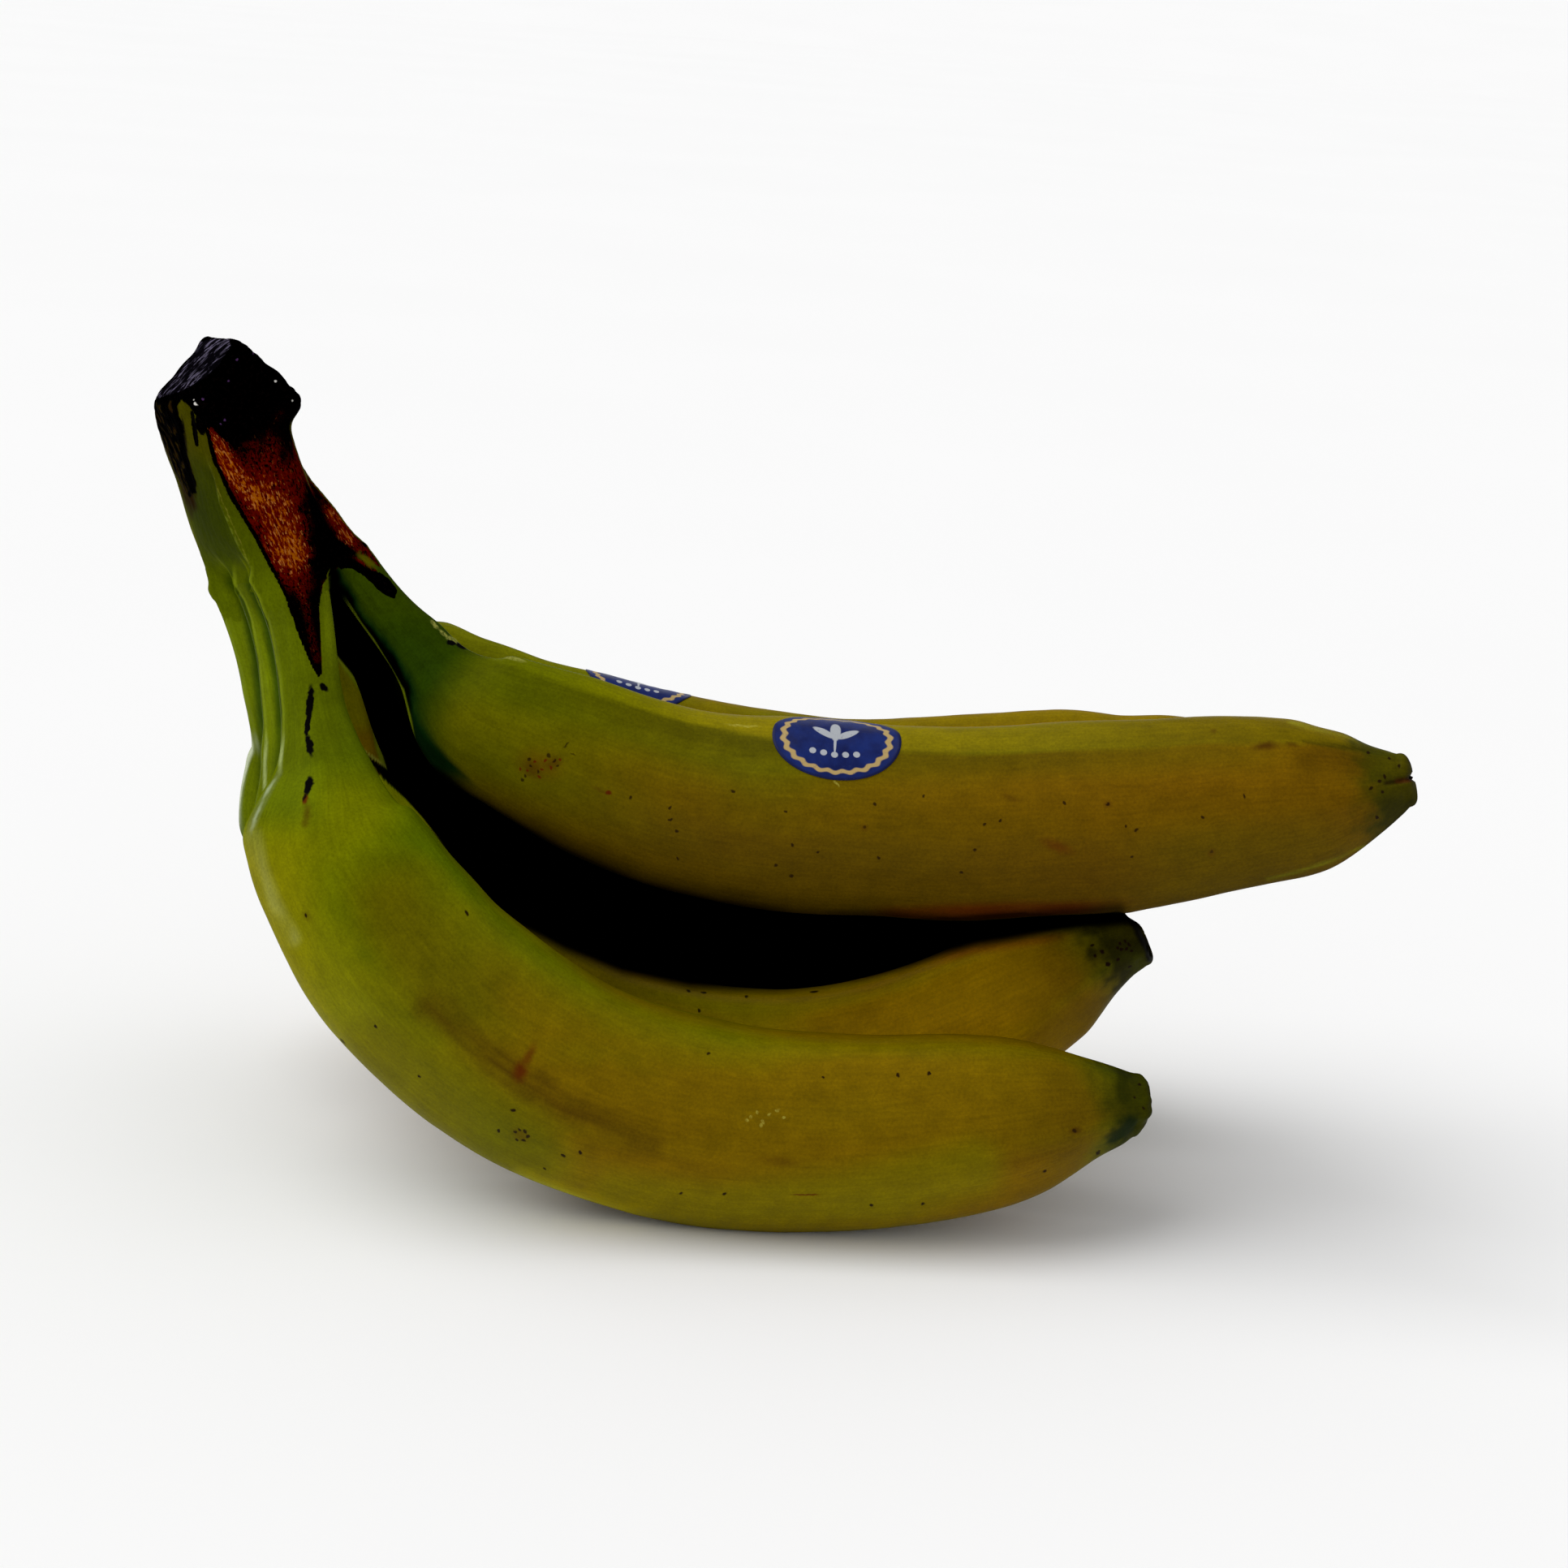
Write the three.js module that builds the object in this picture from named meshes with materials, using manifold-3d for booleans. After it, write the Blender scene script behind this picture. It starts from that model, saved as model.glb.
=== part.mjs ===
// A hand of five green-ripe bananas lying on the backs of its outer row.
// Millimetres, +Z up, origin at the centre of the bounding box's floor.
// +X runs from the crown to the fruit tips, +Y runs back along the row.
import * as THREE from 'three';
import { mergeVertices } from 'three/addons/utils/BufferGeometryUtils.js';
import Module from 'manifold-3d';

const wasm = await Module();
wasm.setup();

// ---- driving dimensions ---------------------------------------------------
const SIDES = 24;            // facets round a fruit
const STEPS = 30;            // facets along a fruit
const RIDGE_SHARPNESS = 6;   // power of the rounded five-sided section
const RIDGE_STRENGTH = 0.85; // 0 is a round section, 1 the full five-sided one
const SECTION_TURN = 15;     // degrees from the front at which widths are taken
const TIP_LENGTH = 2.3;      // rounded end beyond the last row
const JOINT_GAP = 0.3;       // clearance between a fruit stalk and the crown
const STALK_IN_CROWN = 20;   // how far the stalk roots run up into the crown
const LABEL_GAP = 0.35;      // skin to label
const LABEL_THICK = 0.25;
const SKIN = { roughness: 0.5, metalness: 0.0 };

// Each row along a fruit: centre x, y, z, radius in the plane of the bend,
// and the sideways width as a share of that radius. Ridges are in degrees
// round the section, 0 towards the front (-Y) and 90 on the hollow side.
const FRUIT = {
  banana_outer_front: {
    ridges: [-2, 70, 143, 216, 287],
    rows: [
      [-97.05, -19.47, 118.77, 7.26, 0.96], [-94.32, -20.35, 109.49, 6.28, 0.96],
      [-92.31, -23.22, 100.65, 5.97, 0.957], [-89.9, -27.88, 92.06, 6.67, 0.915],
      [-87.57, -32.74, 83.37, 9.99, 0.877], [-85.89, -36.53, 74.38, 15.85, 0.861],
      [-81.21, -38.86, 66.28, 18.18, 0.883], [-75.69, -40.2, 58.61, 19.43, 0.905],
      [-69.79, -40.95, 51.21, 20.29, 0.922], [-63.13, -41.31, 44.35, 20.53, 0.94],
      [-55.69, -41.47, 38.14, 20.82, 0.95], [-47.56, -41.56, 32.64, 20.93, 0.951],
      [-38.82, -41.64, 27.94, 20.85, 0.952], [-29.55, -41.63, 24.36, 20.65, 0.954],
      [-19.94, -41.59, 21.82, 20.61, 0.955], [-10.18, -41.55, 20.14, 20.54, 0.956],
      [-0.37, -41.52, 19.18, 20.2, 0.957], [9.44, -41.43, 19.14, 19.88, 0.958],
      [19.22, -41.32, 19.63, 19.53, 0.959], [28.91, -41.13, 20.66, 19.07, 0.96],
      [38.53, -40.8, 22.12, 18.49, 0.965], [48.11, -40.33, 23.65, 17.29, 0.972],
      [57.66, -39.58, 25.38, 14.75, 0.978], [67.25, -38.51, 26.94, 10.35, 0.988],
      [77.06, -37.16, 27.69, 6.45, 1.0],
    ],
  },
  banana_outer_middle: {
    ridges: [-7, 64, 136, 210, 281],
    rows: [
      [-103.16, -5.47, 114.72, 6.6, 0.96], [-99.83, -5.56, 105.51, 6.7, 0.84],
      [-95.55, -5.38, 95.86, 9.3, 0.84], [-92.82, -5.05, 85.78, 10.71, 0.84],
      [-91.04, -4.61, 75.79, 13.28, 0.84], [-88.7, -4.12, 66.24, 16.82, 0.846],
      [-84.54, -3.64, 57.41, 18.16, 0.877], [-78.55, -3.2, 49.39, 18.3, 0.905],
      [-71.26, -2.82, 42.21, 18.3, 0.922], [-63.07, -2.52, 35.89, 18.3, 0.94],
      [-54.24, -2.3, 30.43, 18.25, 0.95], [-44.93, -2.15, 25.77, 18.19, 0.951],
      [-35.26, -2.06, 19.67, 19.42, 0.952], [-25.34, -2.02, 17.77, 18.75, 0.954],
      [-15.3, -2.03, 17.05, 17.89, 0.955], [-5.23, -2.06, 16.65, 17.42, 0.956],
      [4.79, -2.13, 16.97, 17.2, 0.957], [14.67, -2.2, 18.47, 16.98, 0.958],
      [24.38, -2.28, 21.15, 16.71, 0.959], [33.86, -2.36, 24.92, 16.37, 0.96],
      [43.1, -2.41, 29.61, 15.95, 0.965], [52.1, -2.45, 34.99, 15.45, 0.972],
      [60.8, -2.41, 40.84, 13.23, 0.978], [69.12, -2.24, 46.93, 9.82, 0.988],
      [77.82, -2.24, 51.64, 6.06, 1.0],
    ],
  },
  banana_outer_back: {
    ridges: [6, 77, 149, 220, 293],
    rows: [
      [-109.74, 9.53, 110.05, 6.97, 0.96], [-107.67, 11.8, 100.73, 6.05, 0.96],
      [-105.71, 15.95, 91.35, 6.38, 0.957], [-103.89, 21.11, 82.2, 7.12, 0.915],
      [-101.98, 26.49, 73.63, 8.64, 0.877], [-100.42, 31.16, 64.9, 14.72, 0.861],
      [-95.55, 34.75, 57.17, 18.81, 0.883], [-88.69, 37.14, 50.28, 20.61, 0.905],
      [-80.7, 38.59, 44.2, 21.46, 0.922], [-72.01, 39.43, 38.91, 22.13, 0.94],
      [-62.9, 39.87, 34.36, 22.55, 0.95], [-53.45, 40.04, 30.45, 22.7, 0.951],
      [-43.75, 40.01, 26.45, 22.9, 0.952], [-33.84, 39.86, 22.13, 23.56, 0.954],
      [-23.78, 39.64, 21.11, 22.58, 0.955], [-13.64, 39.4, 20.35, 21.72, 0.956],
      [-3.47, 39.16, 19.78, 21.04, 0.957], [6.7, 38.94, 19.69, 20.5, 0.958],
      [16.81, 38.73, 20.36, 20.1, 0.959], [26.84, 38.53, 21.8, 19.42, 0.96],
      [36.75, 38.32, 23.97, 18.36, 0.965], [46.54, 38.04, 26.8, 16.75, 0.972],
      [56.19, 37.64, 30.19, 14.37, 0.978], [65.7, 37.07, 33.97, 11.53, 0.988],
      [75.07, 36.23, 37.98, 7.8, 1.0],
    ],
  },
  banana_inner_front: {
    ridges: [3, 69, 141, 225, 303],
    rows: [
      [-86.58, -12.46, 121.92, 5.02, 0.96], [-80.7, -13.43, 114.8, 5.2, 0.96],
      [-74.19, -15.59, 108.19, 5.91, 0.957], [-67.69, -18.15, 101.51, 7.91, 0.915],
      [-60.83, -20.45, 95.21, 12.79, 0.877], [-52.1, -21.72, 91.64, 14.92, 0.861],
      [-43.23, -22.59, 88.53, 16.26, 0.883], [-34.38, -23.23, 85.48, 17.2, 0.905],
      [-25.37, -23.66, 82.79, 17.79, 0.922], [-16.12, -23.84, 80.86, 18.27, 0.94],
      [-6.71, -23.8, 79.82, 18.88, 0.95], [2.77, -23.62, 79.5, 19.51, 0.951],
      [12.25, -23.48, 79.4, 19.53, 0.952], [21.74, -23.45, 79.38, 19.17, 0.954],
      [31.24, -23.55, 79.46, 19.34, 0.955], [40.72, -23.7, 80.03, 19.4, 0.956],
      [50.13, -23.87, 81.27, 19.19, 0.957], [59.49, -24.2, 82.68, 19.14, 0.958],
      [68.84, -24.78, 83.96, 19.03, 0.959], [78.07, -25.42, 85.78, 18.34, 0.96],
      [87.24, -26.21, 87.81, 17.59, 0.965], [96.41, -27.25, 89.67, 16.59, 0.972],
      [105.61, -28.52, 91.34, 14.54, 0.978], [114.71, -29.81, 93.57, 10.46, 0.988],
      [123.61, -30.99, 96.68, 5.43, 1.0],
    ],
  },
  banana_inner_back: {
    ridges: [1, 73, 145, 217, 289],
    rows: [
      [-92.03, 3.93, 113.1, 6.2, 0.96], [-87.67, 6.52, 105.08, 6.34, 0.96],
      [-82.69, 9.19, 98.15, 9.52, 0.957], [-76.15, 11.52, 92.69, 14.49, 0.915],
      [-68.96, 13.1, 87.79, 16.27, 0.877], [-60.91, 14.17, 84.07, 16.85, 0.861],
      [-52.27, 14.89, 81.24, 17.06, 0.883], [-43.32, 15.35, 78.98, 17.37, 0.905],
      [-34.23, 15.61, 77.0, 17.8, 0.922], [-25.15, 15.69, 75.07, 18.05, 0.94],
      [-16.07, 15.71, 73.52, 18.31, 0.95], [-7.04, 15.67, 72.36, 18.45, 0.951],
      [1.95, 15.56, 71.63, 18.5, 0.952], [10.92, 15.38, 71.3, 18.31, 0.954],
      [19.91, 15.22, 71.62, 18.18, 0.955], [28.9, 15.12, 72.55, 18.21, 0.956],
      [37.91, 15.02, 73.72, 18.23, 0.957], [46.96, 14.91, 74.91, 18.19, 0.958],
      [56.03, 14.81, 76.17, 18.14, 0.959], [65.16, 14.62, 77.2, 17.74, 0.96],
      [74.31, 14.31, 77.91, 16.69, 0.965], [83.37, 14.12, 79.41, 15.93, 0.972],
      [92.4, 13.76, 80.74, 14.04, 0.978], [101.37, 13.24, 82.1, 10.71, 0.988],
      [110.23, 12.53, 83.67, 6.6, 1.0],
    ],
  },
};

// The crown pad: rows of centre x, y, z, half width and half length, the
// directions of width and length, and the knife cuts that shape its top.
const PAD_ROWS = [
  [-99.87, -8.55, 116.45, 5.19, 17.1],
  [-102.91, -3.33, 122.07, 11.5, 23.07],
  [-107.13, -3.15, 129.09, 11.11, 23.28],
  [-109.73, -4.14, 135.82, 10.37, 22.14],
  [-111.53, -5.31, 142.3, 10.25, 20.81],
  [-112.41, -5.67, 146.1, 11.29, 20.39],
  [-112.37, -5.04, 149.4, 13.66, 21.12],
  [-112.37, -5.85, 153.35, 13.37, 20.19],
  [-112.81, -6.57, 161.28, 12.01, 19.36],
  [-112.65, -7.11, 163.74, 11.47, 18.75],
];
const PAD_WIDE = new THREE.Vector3(0.91826, 0.39073, 0.06421).normalize();
const PAD_LONG = new THREE.Vector3(-0.36569, 0.89901, -0.24096).normalize();
const PAD_POWER = 3.2;       // squareness of the pad's section
const PAD_SIDES = 28;
const CUTS = [
  [-0.7037, -0.28166, 0.65228, 191.511],
  [0.54755, 0.41715, 0.72538, 51.979],
  [-0.7331, 0.43161, 0.52562, 167.705],
  [-0.18679, -0.11831, 0.97525, 183.695],
];

// Labels: fruit, place along it, middle angle, half length, half width (mm).
const LABELS = {
  sticker_front: { on: 'banana_inner_front', at: 0.497, angle: 65.5, along: 12.4, around: 9.6 },
  sticker_back: { on: 'banana_inner_back', at: 0.345, angle: 86, along: 12.4, around: 9.0 },
};

const COLOUR = {
  crown: 0x2a1408,
  banana_outer_front: 0x6e6206,
  banana_outer_middle: 0x6a5e06,
  banana_outer_back: 0x6a6408,
  banana_inner_front: 0x726408,
  banana_inner_back: 0x786c0a,
  sticker_front: 0x10287a,
  sticker_back: 0x10287a,
};

// ---- curves ---------------------------------------------------------------
// Natural cubic spline through equally spaced rows.
function spline(rows) {
  const n = rows.length, w = rows[0].length;
  const m = Array.from({ length: n }, () => new Array(w).fill(0));
  for (let k = 0; k < w; k++) {
    const c = new Array(n).fill(0), d = new Array(n).fill(0);
    for (let i = 1; i < n - 1; i++) {
      const r = 6 * (rows[i + 1][k] - 2 * rows[i][k] + rows[i - 1][k]);
      const b = 4 - c[i - 1];
      c[i] = 1 / b;
      d[i] = (r - d[i - 1]) / b;
    }
    for (let i = n - 2; i > 0; i--) m[i][k] = d[i] - c[i] * m[i + 1][k];
  }
  return (f) => {
    const x = Math.min(Math.max(f, 0), 1) * (n - 1);
    const i = Math.min(Math.floor(x), n - 2), t = x - i, u = 1 - t;
    return rows[i].map((_, k) => u * rows[i][k] + t * rows[i + 1][k]
      + ((u * u * u - u) * m[i][k] + (t * t * t - t) * m[i + 1][k]) / 6);
  };
}

// Five-sided rounded section, scaled to reach 1 each way along its own axes.
function section(ridges, count) {
  const r = ridges.map((a) => ((a % 360) + 360) % 360).sort((a, b) => a - b);
  const mids = r.map((a, i) => THREE.MathUtils.degToRad((a + (i < 4 ? r[i + 1] : r[0] + 360)) / 2));
  const g = [], turn = THREE.MathUtils.degToRad(SECTION_TURN);
  for (let j = 0; j < count; j++) {
    const th = (2 * Math.PI * j) / count;
    let s = 0;
    for (const m of mids) s += Math.max(0, Math.cos(th - m)) ** RIDGE_SHARPNESS;
    g.push(s ** (-1 / RIDGE_SHARPNESS));
  }
  const mean = g.reduce((a, b) => a + b) / count;
  const pts = g.map((v, j) => {
    const rr = 1 + RIDGE_STRENGTH * (v / mean - 1), th = (2 * Math.PI * j) / count;
    return [rr * Math.cos(th - turn), rr * Math.sin(th - turn)];
  });
  const fit = (k) => {
    const lo = Math.min(...pts.map((p) => p[k])), hi = Math.max(...pts.map((p) => p[k]));
    return [(hi + lo) / 2, (hi - lo) / 2];
  };
  const [cb, hb] = fit(0), [cn, hn] = fit(1), c = Math.cos(turn), s = Math.sin(turn);
  return pts.map(([b, n]) => [(b - cb) / hb, (n - cn) / hn]).map(([b, n]) => [b * c - n * s, b * s + n * c]);
}

// Centre, tangent, front direction and hollow-side direction at a place.
function station(curve, f) {
  const h = 0.004, v = curve(f);
  const a = curve(f - h), b = curve(f + h);
  const T = new THREE.Vector3(b[0] - a[0], b[1] - a[1], b[2] - a[2]).normalize();
  const B = new THREE.Vector3(0, -1, 0);
  B.addScaledVector(T, -B.dot(T)).normalize();
  const N = new THREE.Vector3().crossVectors(B, T);
  return { C: new THREE.Vector3(v[0], v[1], v[2]), r: v[3], q: v[4], T, B, N };
}

// ---- solids ---------------------------------------------------------------
// Closed skin over rings of points, with a middle point at each end.
function skin(rings, first, last) {
  const n = rings[0].length, pos = [], idx = [];
  for (const ring of rings) for (const p of ring) pos.push(p.x, p.y, p.z);
  const a = rings.length * n, b = a + 1;
  pos.push(first.x, first.y, first.z, last.x, last.y, last.z);
  for (let i = 0; i < rings.length - 1; i++) {
    for (let j = 0; j < n; j++) {
      const k = (j + 1) % n, p = i * n + j, q = i * n + k;
      idx.push(p, q, q + n, p, q + n, p + n);
    }
  }
  const e = (rings.length - 1) * n;
  for (let j = 0; j < n; j++) {
    const k = (j + 1) % n;
    idx.push(a, k, j, b, e + j, e + k);
  }
  const g = new THREE.BufferGeometry();
  g.setAttribute('position', new THREE.Float32BufferAttribute(pos, 3));
  g.setIndex(idx);
  return outward(g);
}

function outward(g) {
  const p = g.getAttribute('position').array, ix = g.getIndex().array;
  let v = 0;
  for (let i = 0; i < ix.length; i += 3) {
    const [a, b, c] = [ix[i] * 3, ix[i + 1] * 3, ix[i + 2] * 3];
    v += p[a] * (p[b + 1] * p[c + 2] - p[b + 2] * p[c + 1])
      - p[a + 1] * (p[b] * p[c + 2] - p[b + 2] * p[c])
      + p[a + 2] * (p[b] * p[c + 1] - p[b + 1] * p[c]);
  }
  if (v < 0) for (let i = 0; i < ix.length; i += 3) [ix[i], ix[i + 1]] = [ix[i + 1], ix[i]];
  return g;
}

function toSolid(g) {
  const m = mergeVertices(g, 1e-4);
  return new wasm.Manifold(new wasm.Mesh({
    numProp: 3,
    vertProperties: new Float32Array(m.getAttribute('position').array),
    triVerts: new Uint32Array(m.getIndex().array),
  }));
}

function toGeometry(solid) {
  const m = solid.getMesh();
  const pos = [];
  for (let i = 0; i < m.vertProperties.length; i += m.numProp) {
    pos.push(m.vertProperties[i], m.vertProperties[i + 1], m.vertProperties[i + 2]);
  }
  const g = new THREE.BufferGeometry();
  g.setAttribute('position', new THREE.Float32BufferAttribute(pos, 3));
  g.setIndex(Array.from(m.triVerts));
  return g;
}

function ringAt(s, sec, grow = 0, scale = 1, shift = 0) {
  return sec.map(([b, n]) => s.C.clone()
    .addScaledVector(s.T, shift)
    .addScaledVector(s.B, (s.r + grow) * s.q * scale * b)
    .addScaledVector(s.N, (s.r + grow) * scale * n));
}

const curves = {}, sections = {};
for (const [name, f] of Object.entries(FRUIT)) {
  curves[name] = spline(f.rows);
  sections[name] = section(f.ridges, SIDES);
}

// A fruit from its stalk to its blunt tip. grow and back make the slightly
// larger body that is taken out of the crown.
function fruit(name, grow = 0, back = 0, until = 1) {
  const c = curves[name], sec = sections[name], rings = [];
  const steps = Math.max(3, Math.round(STEPS * until));
  const s0 = station(c, 0);
  if (back) rings.push(ringAt(s0, sec, grow, 1, -back));
  for (let i = 0; i <= steps; i++) rings.push(ringAt(station(c, (until * i) / steps), sec, grow));
  const s1 = station(c, until);
  let end = s1.C.clone();
  if (until === 1) {
    rings.push(ringAt(s1, sec, grow, 0.86, TIP_LENGTH * 0.62));
    rings.push(ringAt(s1, sec, grow, 0.5, TIP_LENGTH * 0.93));
    end.addScaledVector(s1.T, TIP_LENGTH);
  }
  return skin(rings, s0.C.clone().addScaledVector(s0.T, -back), end);
}

// The root of a stalk inside the crown, swinging towards the pad's middle.
function root(name) {
  const s = station(curves[name], 0), sec = sections[name], rings = [];
  const top = new THREE.Vector3(...PAD_ROWS[4].slice(0, 3));
  const n = 5;
  let last;
  for (let i = 0; i <= n; i++) {
    const t = i / n, back = JOINT_GAP + (STALK_IN_CROWN - JOINT_GAP) * t;
    const C = s.C.clone().addScaledVector(s.T, -back).lerp(top, 0.9 * t * t);
    const st = { ...s, C, r: s.r * (1.04 - 0.3 * t) };
    rings.push(ringAt(st, sec));
    last = C;
  }
  return skin(rings, s.C.clone().addScaledVector(s.T, -JOINT_GAP), last);
}

function pad() {
  const rings = PAD_ROWS.map(([x, y, z, a, b]) => {
    const ring = [];
    for (let j = 0; j < PAD_SIDES; j++) {
      const th = (2 * Math.PI * j) / PAD_SIDES, c = Math.cos(th), s = Math.sin(th);
      const k = (Math.abs(c) ** PAD_POWER + Math.abs(s) ** PAD_POWER) ** (-1 / PAD_POWER);
      ring.push(new THREE.Vector3(x, y, z).addScaledVector(PAD_WIDE, a * k * c).addScaledVector(PAD_LONG, b * k * s));
    }
    return ring;
  });
  const mid = (r) => new THREE.Vector3(r[0], r[1], r[2]);
  return skin(rings, mid(PAD_ROWS[0]), mid(PAD_ROWS[PAD_ROWS.length - 1]));
}

function label({ on, at, angle, along, around }) {
  const c = curves[on], f = FRUIT[on];
  const fine = section(f.ridges, 360);
  const polar = fine.map(([b, n]) => [((Math.atan2(n, b) * 180) / Math.PI + 360) % 360, Math.hypot(b, n)])
    .sort((p, q) => p[0] - q[0]);
  const reach = (deg) => {
    const d = ((deg % 360) + 360) % 360;
    let best = polar[0];
    for (const p of polar) if (Math.abs(p[0] - d) < Math.abs(best[0] - d)) best = p;
    return best[1];
  };
  const len = new THREE.CatmullRomCurve3(f.rows.map((r) => new THREE.Vector3(r[0], r[1], r[2]))).getLength();
  const put = (da, dr, lift) => {
    const s = station(c, at + da / len);
    const deg = angle + (dr / s.r) * (180 / Math.PI), th = THREE.MathUtils.degToRad(deg);
    const rr = s.r * reach(deg) + lift;
    return s.C.clone().addScaledVector(s.B, rr * s.q * Math.cos(th)).addScaledVector(s.N, rr * Math.sin(th));
  };
  const rings = [], n = 24;
  const ring = (k, lift) => Array.from({ length: n }, (_, j) => {
    const th = (2 * Math.PI * j) / n;
    return put(along * k * Math.cos(th), around * k * Math.sin(th), lift);
  });
  const lo = LABEL_GAP, hi = LABEL_GAP + LABEL_THICK;
  for (const k of [0.34, 0.67, 1]) rings.push(ring(k, lo));
  for (const k of [1, 0.67, 0.34]) rings.push(ring(k, hi));
  return skin(rings, put(0, 0, lo), put(0, 0, hi));
}

// ---- assembly -------------------------------------------------------------
const bunch = new THREE.Group();
bunch.name = 'bunch_of_bananas';

function add(name, geometry, finish = SKIN) {
  geometry.computeVertexNormals();
  const mesh = new THREE.Mesh(geometry, new THREE.MeshStandardMaterial({ color: COLOUR[name], ...finish }));
  mesh.name = name;
  bunch.add(mesh);
}

// Everything that reaches below the table plane is pressed flat on it.
const onTable = (solid) => solid.trimByPlane([0, 0, 1], 0);

let crown = toSolid(pad());
for (const name of Object.keys(FRUIT)) crown = crown.add(toSolid(root(name)));
for (const [x, y, z, d] of CUTS) crown = crown.trimByPlane([-x, -y, -z], -d);
for (const name of Object.keys(FRUIT)) {
  crown = crown.subtract(toSolid(fruit(name, 0.4, JOINT_GAP, 0.16)));
}
add('crown', toGeometry(crown), { roughness: 0.8, metalness: 0 });

for (const name of Object.keys(FRUIT)) add(name, toGeometry(onTable(toSolid(fruit(name)))));
for (const [name, spec] of Object.entries(LABELS)) add(name, label(spec), { roughness: 0.35, metalness: 0 });

export default bunch;
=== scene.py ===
# A bunch of five bananas on one cut crown, lying on the undersides of its
# outer row. Millimetres while it is being shaped, metres when it is stored.
import math

import bpy
import numpy as np
from mathutils import Matrix, Vector
from mathutils.bvhtree import BVHTree


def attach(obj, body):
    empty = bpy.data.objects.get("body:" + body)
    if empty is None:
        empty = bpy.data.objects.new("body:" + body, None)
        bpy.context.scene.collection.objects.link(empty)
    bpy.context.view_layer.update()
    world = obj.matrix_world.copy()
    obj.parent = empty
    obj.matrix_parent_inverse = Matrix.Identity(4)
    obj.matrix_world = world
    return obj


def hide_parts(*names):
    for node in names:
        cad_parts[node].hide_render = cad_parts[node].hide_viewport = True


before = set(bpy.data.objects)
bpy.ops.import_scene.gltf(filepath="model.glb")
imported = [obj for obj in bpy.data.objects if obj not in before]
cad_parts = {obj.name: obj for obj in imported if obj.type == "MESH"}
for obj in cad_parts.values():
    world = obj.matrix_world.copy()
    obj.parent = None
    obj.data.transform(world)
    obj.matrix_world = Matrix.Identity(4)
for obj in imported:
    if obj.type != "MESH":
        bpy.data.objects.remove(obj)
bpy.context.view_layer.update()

MM = 0.001
WORLD = 0.56
SUN = 1.78
SUN_ANGLE = 60
SUN_FROM = (-0.62, -0.10, 0.90)
AO_FLOOR = 0.0

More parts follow.
